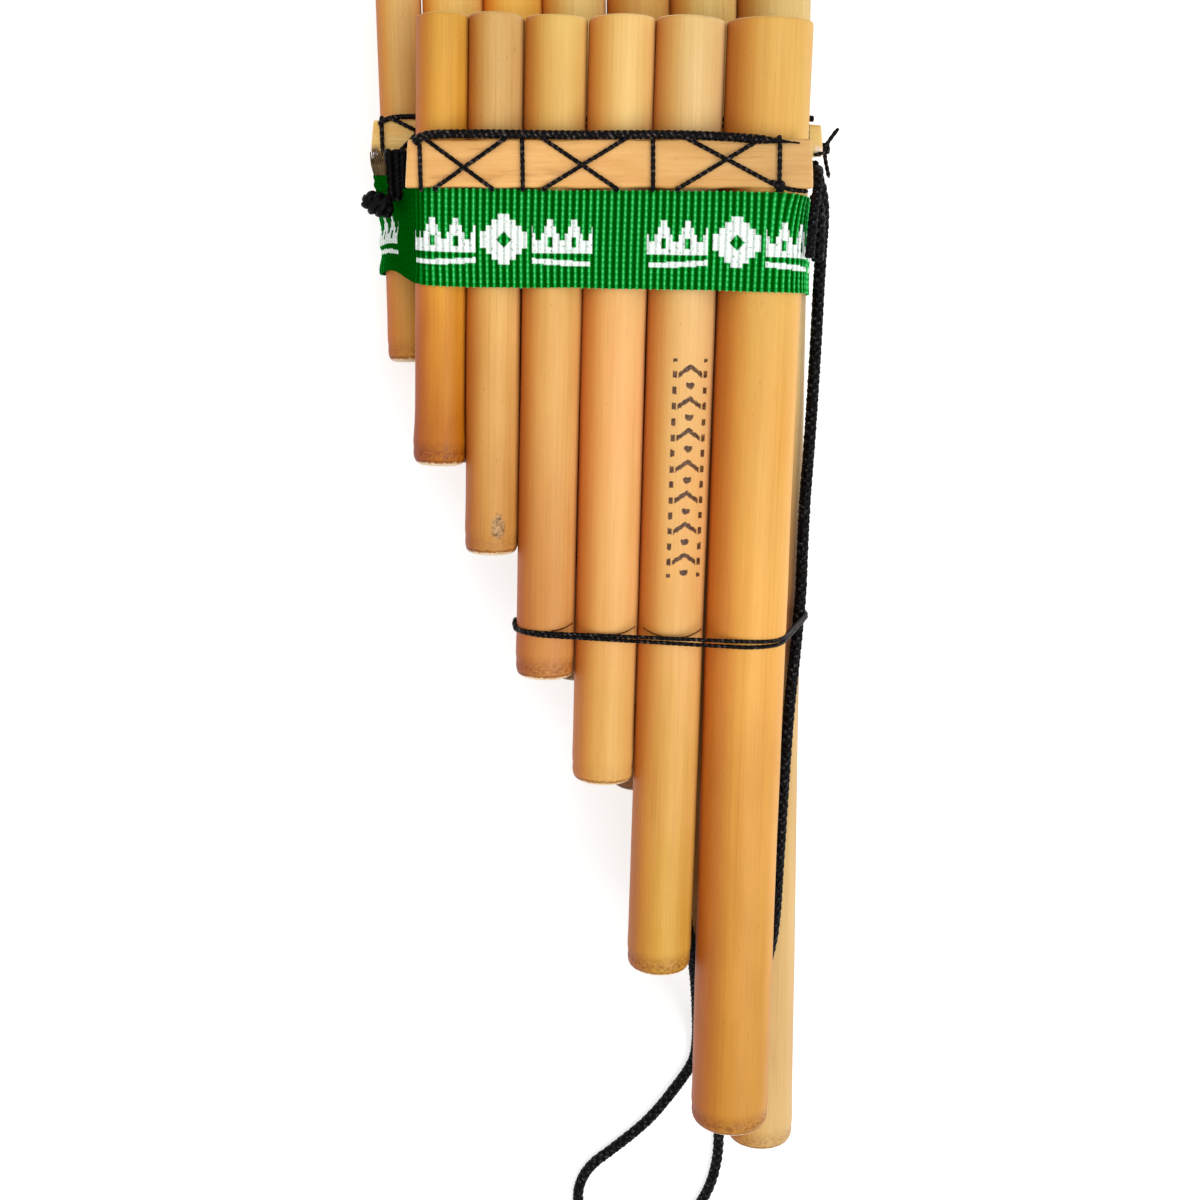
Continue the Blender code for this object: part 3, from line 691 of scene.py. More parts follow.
# ---------------------------------------------------------------- slats
def build_slat(name, x_span, y_span, inner, outward, material, phase):
    low, high = y_span
    middle, half, top = (low + high) / 2, (high - low) / 2, SLAT_THICKNESS
    profile = [(-1, 0.35), (-0.985, 0.1), (-0.95, 0.0), (-0.5, 0.0), (0, 0.0), (0.5, 0.0),
               (0.95, 0.0), (0.985, 0.1), (1, 0.35), (1, 1.0), (0.995, top - 0.75),
               (0.965, top - 0.42), (0.9, top - 0.27), (0.7, top - 0.16), (0.4, top - 0.06),
               (0, top), (-0.4, top - 0.06), (-0.7, top - 0.16), (-0.9, top - 0.27),
               (-0.965, top - 0.42), (-0.995, top - 0.75), (-1, 1.0)]
    across = np.array([p[0] for p in profile])
    height = np.array([p[1] for p in profile])
    x0, x1 = x_span
    places = np.concatenate([[x0, x0, x0 + 0.22], np.linspace(x0 + 1.0, x1 - 1.0, 70),
                             [x1 - 0.22, x1, x1]])
    inset = np.zeros(len(places))
    inset[[0, -1]], inset[[1, -2]] = 0.30, 0.18
    edge = 0.13 * smooth_noise(places, phase, 7.0)
    rough = 0.05 * np.sin(places[:, None] / 3.1 + across[None, :] * 9 + phase)
    y = middle + across[None, :] * (half - inset + edge)[:, None]
    raised = np.clip(height / top, 0, 1)[None, :]
    h = (height[None, :] - 1.3) * (1 - inset[:, None] / 1.6) + 1.3 + rough * raised
    x = np.broadcast_to(places[:, None], y.shape) + 0.35 * across[None, :] * (
        np.exp(-(places - x0) / 1.2) - np.exp(-(x1 - places) / 1.2))[:, None]
    plane = np.array([inner(place) for place in places])[:, None]
    points = np.stack([x, y, plane + outward * (GAP + h)], axis=-1)
    cut = np.zeros(y.shape)
    cut[[0, 1, -2, -1]] = 1.0
    rows, columns = y.shape
    faces = grid_faces(rows, columns)
    faces.append(list(range(columns))[::-1])
    faces.append([(rows - 1) * columns + c for c in range(columns)])
    if outward > 0:
        faces = flipped(faces)
    grain = np.stack([x, y, h], axis=-1)
    made = add_mesh(f"{name}_split", placed(points.reshape(-1, 3), LAY), faces, material,
                    {"grain": grain.reshape(-1, 3), "cut": cut.reshape(-1)}, sharp=40)
    return settle(made, "cane_strip", f"{name}_slat")


split_cane = slat_material("split_cane", (215, 155, 80), (233, 178, 106))
# A lighter copy of the split cane for the slat behind the front rank: painted light that lifts the
# shade it lies in.
lifted_split_cane = slat_material("split_cane_painted_light", (238, 186, 96), (250, 212, 128))
ARCA_SLAT_X = (-51.8, 50.8)
IRA_FRONT_SLAT_X = (-42.9, 43.2)
IRA_BACK_SLAT_X = (-49.6, 46.0)
build_slat("arca_back", ARCA_SLAT_X, ARCA_SLAT_Y, arca.back, -1, split_cane, 1.0)
build_slat("arca_front", ARCA_SLAT_X, ARCA_FRONT_SLAT_Y, arca.front, 1, lifted_split_cane, 2.0)
build_slat("ira_back", IRA_BACK_SLAT_X, IRA_BACK_SLAT_Y, ira.back, -1, split_cane, 3.0)
build_slat("ira_front", IRA_FRONT_SLAT_X, IRA_SLAT_Y, ira.front, 1, split_cane, 4.0)


# ---------------------------------------------------------------- lashings
THREAD_LIFT = 0.42  # of a thread's middle above the slat's face


def strand(y_span, inner, outward, start, end, crossing=None):
    """A thread over a slat's face from (x, side) to (x, side), tucked over both edges. side is
    1 at the mouths' edge. At the share crossing of the way it hops over another thread."""
    low, high = y_span
    face = GAP + SLAT_THICKNESS

    def at(x, y, height):
        return (x, y, inner(x) + outward * (face + height))

    slope = (start[0] - end[0]) / (high - low) * (start[1] - end[1]) / 2
    points = []
    for x, side in (start, end):
        y, out = (high, 1) if side > 0 else (low, -1)
        tuck = []
        for away, height in ((0.30, -2.5), (0.45, -1.2), (0.30, 0.05), (-0.75, THREAD_LIFT - 0.12)):
            tuck.append(at(x + slope * out * away * (1.0 if height > -1 else 0.5), y + out * away,
                           height))
        points += tuck if not points else tuck[::-1]
    first, last = Vector(points[3]), Vector(points[4])
    middle = [(share, 0.3 * min(share, 1 - share)) for share in (0.12, 0.3, 0.5, 0.7, 0.88)]
    if crossing:
        middle = [(crossing - 0.2, 0.1), (crossing - 0.07, 0.72), (crossing + 0.07, 0.72),
                  (crossing + 0.2, 0.1)]
    run = []
    for share, hop in middle:
        place = first.lerp(last, share)
        run.append((place.x, place.y, place.z + outward * hop))
    return points[:4] + run + points[4:]


def build_lashing(name, y_span, inner, outward, uprights, crosses, material, extra=()):
    parts = []
    for x in uprights:
        line = strand(y_span, inner, outward, (x, 1), (x + 0.15, -1))
        parts.append(twisted(rounded(line), 1.05))
    for (a_top, a_low), (b_low, b_top) in crosses:
        line = strand(y_span, inner, outward, (a_top, 1), (a_low, -1))
        parts.append(twisted(rounded(line), 1.0))
        gap_top, gap_low = b_top - a_top, a_low - b_low
        share = gap_low / (gap_low + gap_top)
        line = strand(y_span, inner, outward, (b_low, -1), (b_top, 1), share)
        parts.append(twisted(rounded(line), 1.0))
    parts += extra
    lay_tubes(f"{name}_thread", parts, material, "black_thread", f"{name}_lashing")


thread = thread_material("waxed_thread", 0.42, (0.105, 0.082, 0.074))
ARCA_UPRIGHTS = [-49.6, -25.9, 2.4, 32.6, 47.2]
ARCA_CROSSES = [((-46.8, -32.0), (-45.8, -38.6)), ((-23.0, -1.0), (-22.0, 0.0)),
                ((5.0, 29.6), (5.6, 30.0)), ((34.4, 45.6), (34.6, 45.2))]
IRA_UPRIGHTS = [-40.0, -18.0, 9.7, 36.2]
IRA_CROSSES = [((-38.7, -24.9), (-36.4, -21.8)), ((-13.4, 1.7), (-12.8, 3.8)),
               ((17.1, 36.4), (15.6, 32.2))]
build_lashing("arca_back", ARCA_SLAT_Y, arca.back, -1, ARCA_UPRIGHTS, ARCA_CROSSES, thread)
build_lashing("arca_front", ARCA_FRONT_SLAT_Y, arca.front, 1, ARCA_UPRIGHTS, ARCA_CROSSES, thread)
build_lashing("ira_back", IRA_BACK_SLAT_Y, ira.back, -1, IRA_UPRIGHTS, IRA_CROSSES, thread)
corner_z = ira.front(36.4) + GAP + SLAT_THICKNESS
corner_tie = [(34.6, 98.3, corner_z + 0.4), (36.3, 97.5, corner_z + 0.8),
              (37.8, 96.8, corner_z + 0.5), (40.2, 96.5, corner_z - 0.5),
              (42.8, 96.4, corner_z - 1.6)]
corner_lump = [(35.4, 97.0, corner_z + 0.2), (36.6, 97.9, corner_z + 1.1),
               (37.4, 97.0, corner_z + 0.3)]
build_lashing("ira_front", IRA_SLAT_Y, ira.front, 1, IRA_UPRIGHTS, IRA_CROSSES, thread,
              [twisted(rounded(corner_tie), 1.05), twisted(rounded(corner_lump), 1.2)])


def knot_loop(centre, size, count):
    """A small thread knot: a closed loop that crosses itself."""
    (x, y, z), (a, b, c) = centre, size
    return [(x + a * math.sin(2 * t), y + b * math.cos(3 * t), z + c * math.sin(3 * t))
            for t in np.linspace(0, math.tau, count)]


def build_binding(name, rank, y_span, x_span, drop, thickness, material, extra=()):
    """Twisted plies along a front slat's top edge: they rise over its left corner and thin to a
    tail at the right."""
    x0, x1 = x_span
    line = []
    for share in np.linspace(0, 1, 90):
        x = x0 + (x1 - x0) * share
        ease, start = share ** 5, math.exp(-share * 60)
        y = y_span[1] + thickness / 2 - drop * ease - 1.9 * start + 0.12 * math.sin(share * 11)
        lift = 0.15 + 0.75 * ease + 0.5 * start
        line.append((x, y, rank.front(x) + GAP + SLAT_THICKNESS + lift))
    part = twisted(line, thickness, plies=3, pitch=2.0 * thickness, depth=0.26, spacing=0.2,
                   sides=18, taper=0.10)
    lay_tubes(f"{name}_twist", [part, *extra], material, "black_thread", f"{name}_binding")


end_knot = knot_loop((47.9, 114.3, 25.6), (0.3, 0.35, 0.3), 30)
build_binding("ira", ira, IRA_SLAT_Y, (-41.2, 40.2), 1.8, 2.0, thread)
build_binding("arca", arca, ARCA_FRONT_SLAT_Y, (-50.2, 48.4), 0.0, 1.25, thread,
              [twisted(end_knot, 0.8, spacing=0.15)])


# ---------------------------------------------------------------- ribbon
RIBBON_Y = (74.9, 94.8)
RIBBON_PITCH = 1.5
PRINT_START = 18.5  # middle of the first printed frieze, along the ribbon
PRINT_REPEAT = 50.7


def hull_outline(circles, offset, sides=180):
    cloud = []
    for x, z, radius in circles:
        for side in range(sides):
            angle = math.tau * side / sides
            cloud.append(Vector((x + (radius + offset) * math.cos(angle),
                                 z + (radius + offset) * math.sin(angle))))
    return np.array([cloud[k] for k in geometry.convex_hull_2d(cloud)])


def motif(u, v):
    """A printed frieze of generic woven shapes, 1 inside it. u runs along and v across, in
    millimetres from the middle of one repeat."""
    far = np.abs(u)
    step = np.floor(far / 1.3)
    diamond = (np.abs(v) < 5.2 - 1.15 * step) & (far < 5.2)
    diamond &= (far + np.abs(v)) > 1.7
    tooth = np.abs(((u + 60) % 5.2) - 2.6)
    peaks = (v < 4.3 - np.floor(tooth / 0.65) * 1.45) & (v > -2.6) & (far > 6.2) & (far < 19.4)
    slot = (tooth < 0.55) & (v < 0.8) & (v > -1.6)
    bar = (np.abs(v + 4.5 - 0.4 * np.cos(u / 6.2)) < 0.55) & (far > 6.2) & (far < 19.0)
    return (diamond | (peaks & ~slot) | bar).astype(float)


def build_ribbon(material):
    circles = [c for rank in (ira, arca) for c in rank.section(sum(RIBBON_Y) / 2)]
    loop = hull_outline(circles, 0.35)
    if np.sum(loop[:, 0] * np.roll(loop[:, 1], -1) - np.roll(loop[:, 0], -1) * loop[:, 1]) > 0:
        loop = loop[::-1]  # clockwise seen from the feet: over the front from left to right
    corner = np.argmax(loop[:, 1] - 0.9 * loop[:, 0])
    loop = np.roll(loop, -corner, axis=0)
    closed = np.concatenate([loop, loop[:1]])
    closed = np.stack([closed[:, 0], np.zeros(len(closed)), closed[:, 1]], axis=1)
    total = route_length(closed)
    columns = int(total / 0.15)
    ring = resample(closed, columns + 1)[:-1]
    ring = relaxed(ring, 10)
    along = np.arange(columns) * total / columns
    tangent = np.roll(ring, -1, axis=0) - np.roll(ring, 1, axis=0)
    tangent /= np.linalg.norm(tangent, axis=1)[:, None]
    outward = np.stack([-tangent[:, 2], np.zeros(columns), tangent[:, 0]], axis=1)
    centre = ring.mean(axis=0)
    outward *= np.sign(np.sum(outward * (ring - centre), axis=1).mean())
    ribs = round(total / RIBBON_PITCH)
    pitch = total / ribs
    rows = 84
    across = np.linspace(0, 1, rows)
    side = 1 / (1 + np.exp((ring[:, 0] - (ira.mouth[0] + ira.axes_x[0] - 4.6)) / 0.7))
    front = 1 / (1 + np.exp(-(ring[:, 2] - 14.0) / 2.0))
    bent = -1.1 * np.exp(-((ring[:, 0] - 42.0) / 5.0) ** 2) * front
    lean = 0.22 * np.sin(across[:, None] * 2.6 + along[None, :] / 31)
    lean = lean + bent[None, :] * np.clip(across[:, None] - 0.40, 0, 1) ** 2 * 5
    phase = ((along[None, :] + lean) / pitch + 0.5) % 1.0 - 0.5
    beads = 0.86 + 0.14 * np.cos(across * math.tau * 17)[:, None]
    # On the left side the ribs are flattened, which gives that side the grooves' dark colour:
    # painted shade.
    rib = np.exp(-(phase * pitch / 0.36) ** 2) * beads * (1 - 0.8 * side * front)[None, :]
    gather = side * np.clip((36.0 - ring[:, 2]) / 16.0, 0, 1)
    gather = np.convolve(np.concatenate([gather[-40:], gather, gather[:40]]),
                         np.ones(81) / 81, "valid")
    ends = 0.5 * np.exp(-((ring[:, 0] + 43.5) / 3.0) ** 2)
    ends -= 0.5 * np.exp(-((ring[:, 0] - 46.0) / 3.0) ** 2)
    tilt = 0.7 * front * (ring[:, 0] - 2.0) / 75.0
    y0 = RIBBON_Y[0] + 0.9 * front + 4.0 * gather + 0.14 * smooth_noise(along, 1.0, 23.0) - tilt
    y1 = RIBBON_Y[1] + 1.6 + 1.2 * ends * front + 0.12 * smooth_noise(along, 2.0, 19.0) - tilt
    y = y0[None, :] + (y1 - y0)[None, :] * across[:, None]
    y = y + 0.22 * rib * (np.where(across > 0.97, 1, 0) - np.where(across < 0.03, 1, 0))[:, None]
    roll = sum(0.10 * np.exp(-((across - edge) / 0.03) ** 2) for edge in (0.02, 0.98))
    wave = 0.18 * smooth_noise(along, 5.0, 9.0)[None, :] * (across[:, None] * 2 - 1) ** 2
    slack = 0.5 * gather[None, :] * np.sin(across[:, None] * 9.0 + 1.0) ** 2
    lift = 0.36 + 0.30 * rib + roll[:, None] + np.abs(wave) + slack
    top, under = (np.stack([ring[None, :, 0] + outward[None, :, 0] * out, y,
                            ring[None, :, 2] + outward[None, :, 2] * out], axis=-1)
                  for out in (lift, lift - 0.45))
    under = under[::-1]
    points = np.concatenate([top, under, top[:1]])[:-1].reshape(-1, 3)
    faces = grid_faces(2 * rows, columns)
    last = (2 * rows - 1) * columns
    faces += [[last + c, last + (c + 1) % columns, (c + 1) % columns, c] for c in range(columns)]
    faces = flipped(faces)
    u = np.broadcast_to(along[None, :], y.shape)
    v = np.broadcast_to((across * 20 - 10)[:, None], y.shape)
    ink = motif((u - PRINT_START + PRINT_REPEAT / 2) % PRINT_REPEAT - PRINT_REPEAT / 2, v + 0.2)
    weave = np.stack([u, v, rib], axis=-1)
    weave = np.concatenate([weave, weave[::-1] * [1, 1, 0.8]]).reshape(-1, 3)
    ink = np.concatenate([ink, ink[::-1] * 0]).reshape(-1)
    made = add_mesh("ribbon_band", placed(points, LAY), faces, material,
                    {"weave": weave, "ink": ink})
    settle(made, "green_ribbon", "ribbon")
    return made


grosgrain = ribbon_material()
build_ribbon(grosgrain)


def build_ribbon_tail(green, brown):
    """A cut end of the ribbon that stands up beside the left hitch and frays into fibres."""
    rows, columns = 26, 13
    up = np.linspace(0, 1, rows)[:, None]
    side = np.linspace(-1, 1, columns)[None, :]
    half = 1.0 + 0.5 * np.sin(up * 2.6) + 0.12 * np.sin(up * 17.0)
    fold = 0.45 * np.cos(side * 2.4 + up * 3.0) + 0.2 * np.sin(up * 9.0 + side)
    ragged = 0.35 * np.sin(side * 9.0 + 1.0) * up
    x = -49.2 + side * half - 0.3 * up
    y = 95.6 + 5.6 * up + ragged
    top = np.stack([x, y, 29.1 + fold], axis=-1)
    under = (top - [0, 0, 0.4])[::-1]
    points = np.concatenate([top, under]).reshape(-1, 3)
    count = rows * columns
    faces = flipped(grid_faces(rows, columns, False) + grid_faces(rows, columns, False, count))
    for c in range(columns - 1):
        faces.append([c, c + 1, 2 * count - columns + c + 1, 2 * count - columns + c])
        low = (rows - 1) * columns + c
        faces.append([low + 1, low, count + c, count + c + 1])
    for r in range(rows - 1):
        a, b = r * columns, (r + 1) * columns
        c, d = count + (rows - 1 - r) * columns, count + (rows - 2 - r) * columns
        faces.append([b, a, c, d])
        e = columns - 1
        faces.append([a + e, b + e, d + e, c + e])
    u = np.broadcast_to(50 + side * half, x.shape)
    v = np.broadcast_to(up * 5.6, x.shape)
    weave = np.stack([u, v, 0.06 + 0.10 * np.sin(v * 8.0)], axis=-1)
    weave = np.concatenate([weave, weave[::-1]]).reshape(-1, 3)
    made = add_mesh("ribbon_tail_band", placed(points, LAY), faces, green,
                    {"weave": weave, "ink": np.zeros(len(weave))})
    settle(made, "green_ribbon", "ribbon_tail")
    parts = []
    for k in range(26):
        lean = (k - 12.5) * 0.095
        base = (-49.5 + lean, 100.6 + 0.4 * math.sin(k * 2.1), 28.9 + 0.25 * (k % 3))
        tip = (-50.1 + lean * (1.2 + 0.2 * math.sin(k * 1.7)),
               104.6 + 1.0 * math.sin(k * 1.9 + 0.4), 28.4 + 0.6 * math.cos(k * 2.3))
        middle = (-49.8 + lean * 1.25, 102.6, 29.1 + 0.4 * math.sin(k * 1.7))
        parts.append((resample(rounded([base, middle, tip], 8), 14),
                      np.linspace(0.28, 0.13, 14), 6, {}))
    lay_tubes("ribbon_fray", parts, brown, "green_ribbon")


def fray_material(name, *tones):
    """Loose dull fibres in three tones."""
    s = Shade(name, 0.7)
    here = s.node("ShaderNodeTexCoord").outputs["Object"]
    tone = s.noise(here, 900.0, 3.0)
    base = s.ramp(tone, [(place, linear(t)) for place, t in zip((0.3, 0.6, 0.8), tones,
                                                                strict=True)])
    s.put("Specular IOR Level", 0.1)
    s.bump(tone, 0.00006)
    return s.finish(base)


build_ribbon_tail(grosgrain, fray_material("frayed_fibre", (62, 48, 30), (98, 78, 52),
                                          (126, 106, 78)))


# ---------------------------------------------------------------- hitches, knots and ties
HITCH_CORD, HITCH_PITCH = 1.3, 1.5


def build_hitch(name, first_x, turns, material):
    """A winding round an end of the slat behind the front rank."""
    low, high = IRA_BACK_SLAT_Y
    across, thick, away = (high - low) / 2, SLAT_THICKNESS / 2, GAP + HITCH_CORD / 2
    corner = []
    for side_y, side_z in ((-1, -1), (1, -1), (1, 1), (-1, 1)):
        pair = [(side_y * (across + away), side_z * (thick + 0.35 * away)),
                (side_y * (across + 0.35 * away), side_z * (thick + away))]
        corner += pair if side_y * side_z > 0 else pair[::-1]
    points = []
    for turn in range(turns):
        for k, (y, z) in enumerate(corner):
            x = first_x + HITCH_PITCH * (turn + k / len(corner))
            points.append((x + 0.12 * math.sin(turn * 2.1 + k), (low + high) / 2 + y,
                           ira.back(x) - GAP - thick + z))
    part = twisted(rounded(points, 6), 2.15, plies=3, pitch=3.6, depth=0.2)
    lay_tubes(f"{name}_winding", [part], material, "black_cord", name)


cord_black = thread_material("braided_cord", 0.40, (0.075, 0.078, 0.084))
hitch_black = thread_material("hitched_cord", 0.45, (0.010, 0.009, 0.009))
build_hitch("left_hitch", -48.4, 3, hitch_black)
build_hitch("right_hitch", 42.3, 2, hitch_black)


def build_left_knot(material):
    """A tight knot of three turns round the cord's own end, over the ribbon's corner."""
    centre, reach = Vector((-49.9, 93.9, 29.9)), 1.75
    axis = Vector((0.93, -0.34, 0.10)).normalized()
    side = axis.cross(Vector((0, 0, 1))).normalized()
    up = side.cross(axis)
    coil = []
    for k in range(73):
        t = k / 72
        angle = t * math.tau * 3.1
        radius = reach * (0.66 + 0.34 * math.sin(t * math.pi))
        coil.append(centre + axis * (t - 0.5) * 5.4 + side * radius * math.cos(angle)
                    + up * radius * math.sin(angle))
    loop = [centre - axis * 3.6 - side * 0.3, centre - axis * 1.4 + up * 0.5,
            centre + axis * 1.2 - up * 0.3, centre + axis * 3.5 + side * 0.4]
    cross = [centre - axis * 2.6 + side * 1.2, centre + up * 1.9 - side * 0.2,
             centre + axis * 2.4 - side * 1.1]
    parts = [twisted(line, width, plies=3, pitch=4.4, depth=0.25)
             for line, width in ((coil, 2.2), (rounded(loop), 2.5), (rounded(cross), 1.9))]
    lay_tubes("left_knot_turns", parts, material, "black_cord", "left_knot")


build_left_knot(hitch_black)


def build_lashing_tails(material):
    """The lashing thread's knotted end at the right and its two cut tails."""
    knot = knot_loop((51.9, 108.2, 22.0), (0.85, 0.95, 0.6), 41)
    upper = [(54.9, 112.6, 22.6), (53.4, 110.6, 22.4), (52.1, 108.6, 22.1)]
    lower = [(51.9, 107.8, 22.0), (52.3, 105.2, 22.2), (53.1, 101.6, 22.6)]
    bar = [(48.9, 106.4, 25.2), (50.2, 106.6, 24.9), (51.3, 107.2, 23.6), (51.8, 107.8, 22.2)]
    parts = [twisted(rounded(upper), 1.0), twisted(rounded(lower), 1.0),
             twisted(knot, 0.95, spacing=0.15), twisted(rounded(bar), 1.0)]
    lay_tubes("lashing_thread_tails", parts, material, "black_thread", "lashing_tails")


build_lashing_tails(thread)


TIE_LEVELS = [(-19.0, -1.7), (0.0, -2.5), (20.0, -3.1), (40.0, -3.1), (53.0, -1.9)]  # (x, y)
CORD_AT_TIE = (49.85, 20.7)


def build_lower_tie(material, worn):
    """The tie round both ranks and the neck cord: two thin strands that part and close. worn is
    the material of the tie's painted shadow on the pipes above it.
    """
    circles = [c for rank in (ira, arca) for c in rank.section(TIE_LEVELS[0][1])]
    circles = [c for c in circles if c[0] > circles[0][0] - 1.0]
    circles.append((*CORD_AT_TIE, 1.4))
    level_x, level_y = zip(*TIE_LEVELS, strict=True)
    part_x = (-20.0, -10.0, 2.0, 14.0, 21.0, 30.0, 53.0)
    part_y = (0.1, 0.45, 0.85, 1.25, 0.6, 0.7, 0.3)
    parts = []
    for offset, spread, pitch in ((0.50, 1.0, 2.4), (0.56, -1.0, 2.7)):
        outline = hull_outline(circles, offset, 120)
        line = []
        for x, z in outline:
            apart = float(np.interp(x, part_x, part_y)) * spread
            level = float(np.interp(x, level_x, level_y))
            line.append((x, level + apart + 0.10 * math.sin(x / 4.0), z))
        closed = np.array(line + line[:1])
        line = relaxed(resample(closed, int(route_length(closed) / 0.3))[:-1], 12)
        parts.append((line, np.full(len(line), 0.50), 12,
                      {"closed": True, "lobes": 2, "depth": 0.3, "pitch": pitch}))
    lump = [(-19.5, 0.0, 33.0), (-19.7, -0.9, 35.4), (-19.2, -1.9, 37.6)]
    parts.append(twisted(rounded(lump), 1.5))
    lay_tubes("lower_tie_strands", parts, material, "black_thread", "lower_tie")
    # A painted shadow of the tie: a thin brown strand that lies on the pipes above the tie and dips
    # between them.
    parts = []
    for (x, z, radius), first in zip(ira.section(-2.0), (80, 100, 152), strict=False):
        angle = np.radians(np.linspace(first, 28, 40))
        level = np.interp(x + radius * np.cos(angle), level_x, level_y)
        front = np.stack([x + (radius + 0.16) * np.cos(angle),
                          level + 2.5 - 1.7 * np.sin(angle) ** 2,
                          z + (radius + 0.16) * np.sin(angle)], axis=1)
        parts.append((front, np.full(40, 0.16), 8, {}))
    lay_tubes("lower_tie_painted_shadow", parts, worn, "black_thread")


build_lower_tie(thread, fray_material("tie_shadow_fibre", (70, 30, 10), (120, 62, 24), (150, 92, 44)))


# ---------------------------------------------------------------- neck cord
CORD = 2.8
CORD_ROUTE = [
    (-48.6, 97.6, 19.6), (-45.6, 97.7, 19.3), (-41.5, 96.0, 20.0), (-37.0, 90.0, 21.4),
    (-31.0, 79.0, 22.0), (-23.0, 60.0, 22.0), (-13.0, 35.0, 22.0), (-3.0, 8.0, 22.0),
    (7.0, -20.0, 21.8), (15.5, -48.0, 21.4), (21.0, -70.0, 20.6), (24.5, -86.0, 18.6),
    (27.0, -101.0, 12.0), (28.6, -115.0, 4.6), (28.9, -123.0, 2.0), (27.8, -129.0, 1.5),
    (22.8, -136.8, 1.5), (17.0, -144.2, 1.5), (11.5, -149.4, 1.5), (6.1, -153.8, 1.5),
    (0.8, -158.2, 1.5), (-2.2, -163.4, 1.5), (-2.6, -169.4, 1.5), (0.6, -175.2, 1.5),
    (7.0, -179.4, 1.5), (15.0, -181.0, 1.5), (23.0, -178.6, 1.5), (29.0, -173.2, 1.5),
    (33.0, -166.2, 1.5), (35.0, -159.0, 1.5), (35.6, -151.4, 1.6), (35.0, -143.0, 2.8),
    (34.4, -134.0, 6.6), (35.4, -124.0, 12.8), (38.6, -111.5, 18.2), (42.6, -98.0, 19.6),
    (45.6, -84.0, 20.0), (46.5, -64.0, 20.1), (47.1, -46.0, 20.2), (47.9, -27.0, 20.2),
    (49.3, -9.8, 19.5), (50.2, 3.0, 18.9), (50.3, 14.0, 19.0), (50.5, 26.0, 19.2),
    (51.1, 40.0, 19.4), (51.5, 52.0, 19.6), (51.8, 64.0, 19.9), (52.0, 76.0, 20.2),
    (52.2, 86.0, 20.8), (52.2, 92.0, 21.8), (51.6, 96.4, 23.2), (50.0, 100.4, 25.6),
    (48.0, 103.6, 28.0),
]
TAIL_BESIDE = [  # a second strand, from the cord's end up past the longest front pipe
    (48.3, 102.4, 30.4), (48.0, 102.2, 35.0), (47.4, 101.5, 38.6), (46.9, 100.2, 41.0),
    (46.1, 96.0, 43.6), (45.2, 92.0, 45.6), (44.7, 87.0, 46.3), (44.5, 82.8, 46.2),
]
TAIL_ROUTE = [(48.5, 97.0, 30.6), (49.2, 93.0, 31.6), (49.3, 88.0, 31.8), (49.3, 82.6, 31.4)]


BRAID_STRANDS = 8
BRAID_STEP = 0.55  # between points along a strand


def braid(line, diameter):
    """Parts for add_tubes: strands that weave over and under each other round a core."""
    pitch = diameter * 3.2
    count = int(route_length(line) / BRAID_STEP)
    line = resample(line, count)
    across, other = carried_frames(line)
    along = np.linspace(0, route_length(line), count)
    parts = []
    for k in range(BRAID_STRANDS):
        way = 1 if k % 2 == 0 else -1
        start = (k // 2) * math.tau / (BRAID_STRANDS / 2)
        angle = way * math.tau * along / pitch + start
        weave = way * np.cos(along / pitch * math.tau * BRAID_STRANDS / 2)
        reach = diameter / 2 * (0.66 + 0.08 * weave)
        strand_line = line + across * (reach * np.cos(angle))[:, None] \
            + other * (reach * np.sin(angle))[:, None]
        parts.append((strand_line, np.full(count, diameter * 0.185), 6,
                      {"crest": 0.5 + 0.5 * weave}))
    parts.append((line, np.full(count, diameter * 0.40), 10, {"crest": 0.0}))
    return parts


def build_neck_cord(material):
    line = placed(smooth_route(CORD_ROUTE, 500), GROUND) / MM
    made = add_tubes("neck_cord_braid", braid(line, CORD), material, Matrix.Scale(MM, 4))
    settle(made, "black_cord", "neck_cord")
    parts = braid(smooth_route(TAIL_ROUTE, 60), CORD) + braid(smooth_route(TAIL_BESIDE, 60), 2.1)
    lay_tubes("neck_cord_tail_braid", parts, material, "black_cord", "neck_cord_tail")


build_neck_cord(cord_black)


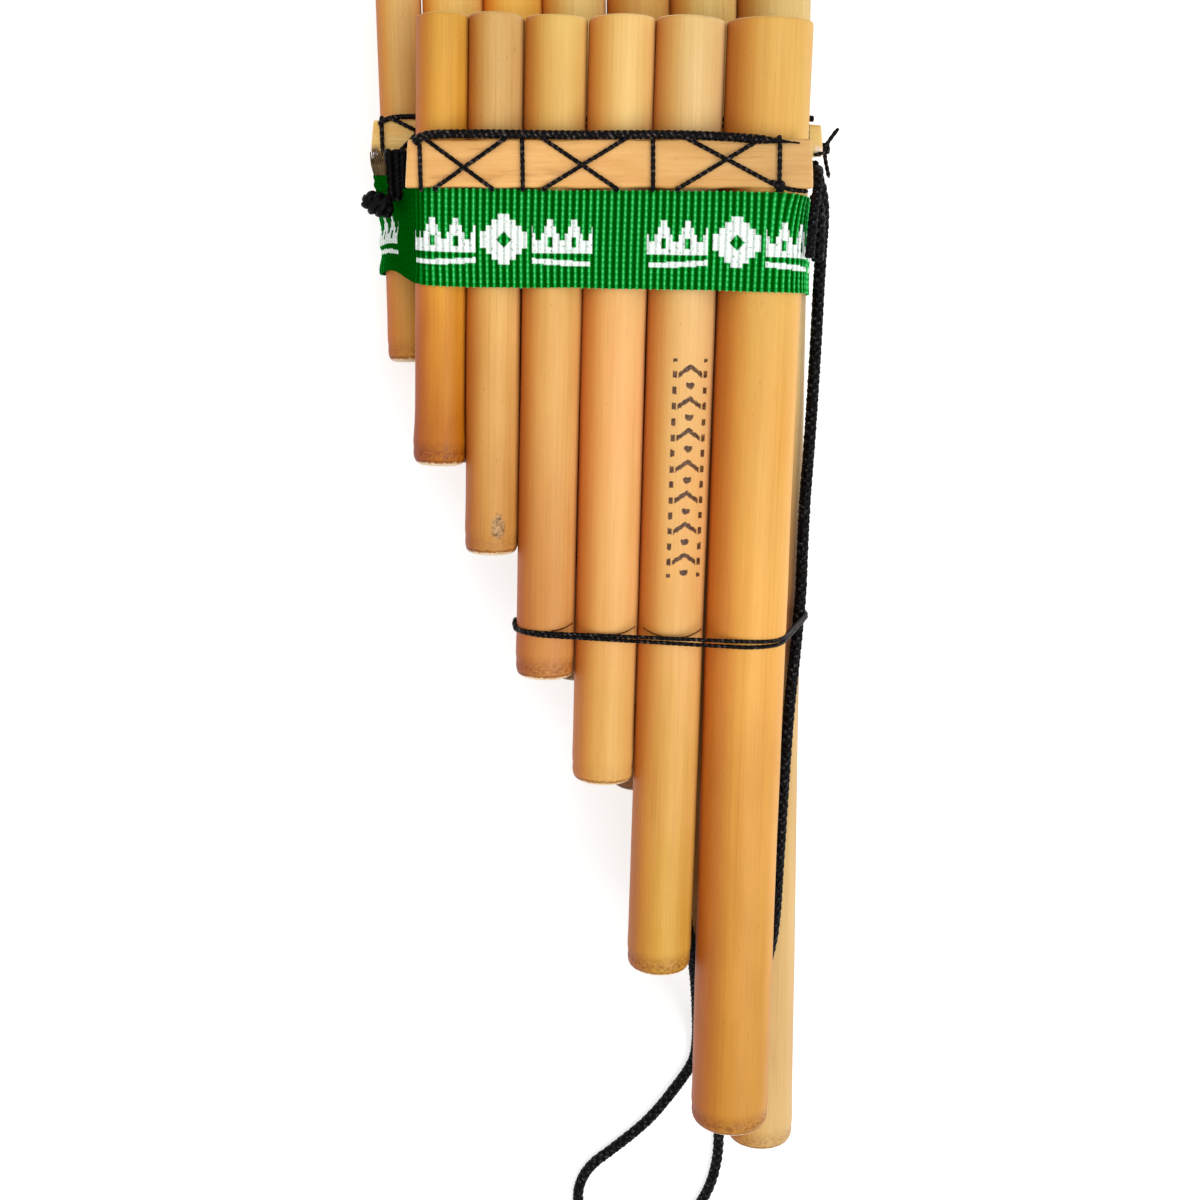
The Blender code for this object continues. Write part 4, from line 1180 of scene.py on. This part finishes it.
# ---------------------------------------------------------------- floor, light and camera
def build_floor():
    """A plain pale floor that gives off some light, to come out white."""
    s = Shade("floor_white", 0.7)
    s.put("Base Color", (0.54, 0.54, 0.54, 1))
    s.put("Emission Color", (1, 1, 1, 1))
    s.put("Emission Strength", 0.60)
    points = [(-6, -6, 0), (6, -6, 0), (6, 6, 0), (-6, 6, 0)]
    floor = add_mesh("floor", points, [[0, 1, 2, 3]], s.material, smooth=False)


def add_light(name, place, size, power):
    """A soft white disk that faces the instrument."""
    data = bpy.data.lights.new(name, "AREA")
    data.shape, data.size, data.energy = "DISK", size, power
    lamp = bpy.data.objects.new(name, data)
    lamp.location = place
    lamp.rotation_euler = (LIGHTS_AIM - Vector(place)).to_track_quat("-Z", "Y").to_euler()
    bpy.context.collection.objects.link(lamp)


LIGHTS_AIM = Vector((0, 0, 0.02))
build_floor()
add_light("key", (0.75, -0.45, 1.2), 1.0, 11.6)
add_light("top", (0.15, 0.2, 1.5), 1.6, 8.0)
add_light("fill", (-0.95, -0.15, 0.75), 0.9, 3.0)
world = bpy.data.worlds.new("studio")
world.use_nodes = True
world.node_tree.nodes["Background"].inputs["Color"].default_value = (1, 1, 1, 1)
world.node_tree.nodes["Background"].inputs["Strength"].default_value = 0.50
bpy.context.scene.world = world
bpy.context.scene.view_settings.view_transform = "Standard"


SENSOR, FOCAL_PIXELS, IMAGE_PIXELS = 36.0, 1501, 1200  # matched to the photograph


def add_camera():
    right = Vector((0.99808, 0.00812, 0.06146)).normalized()
    ahead = Vector((0.06187, -0.19151, -0.97954)).normalized()
    up = right.cross(ahead).normalized()
    right = ahead.cross(up)
    turn = Matrix((right, up, -ahead)).transposed()
    data = bpy.data.cameras.new("camera")
    data.sensor_width, data.clip_start = SENSOR, 0.01
    data.lens = SENSOR * FOCAL_PIXELS / IMAGE_PIXELS
    camera = bpy.data.objects.new("camera", data)
    place = LAY @ Vector((-21.6, 71.8, 378.1))
    camera.matrix_world = Matrix.Translation(place) @ (
        Matrix.Rotation(LEAN, 3, "X") @ turn).to_4x4()
    bpy.context.collection.objects.link(camera)
    bpy.context.scene.camera = camera


add_camera()
bpy.context.view_layer.update()
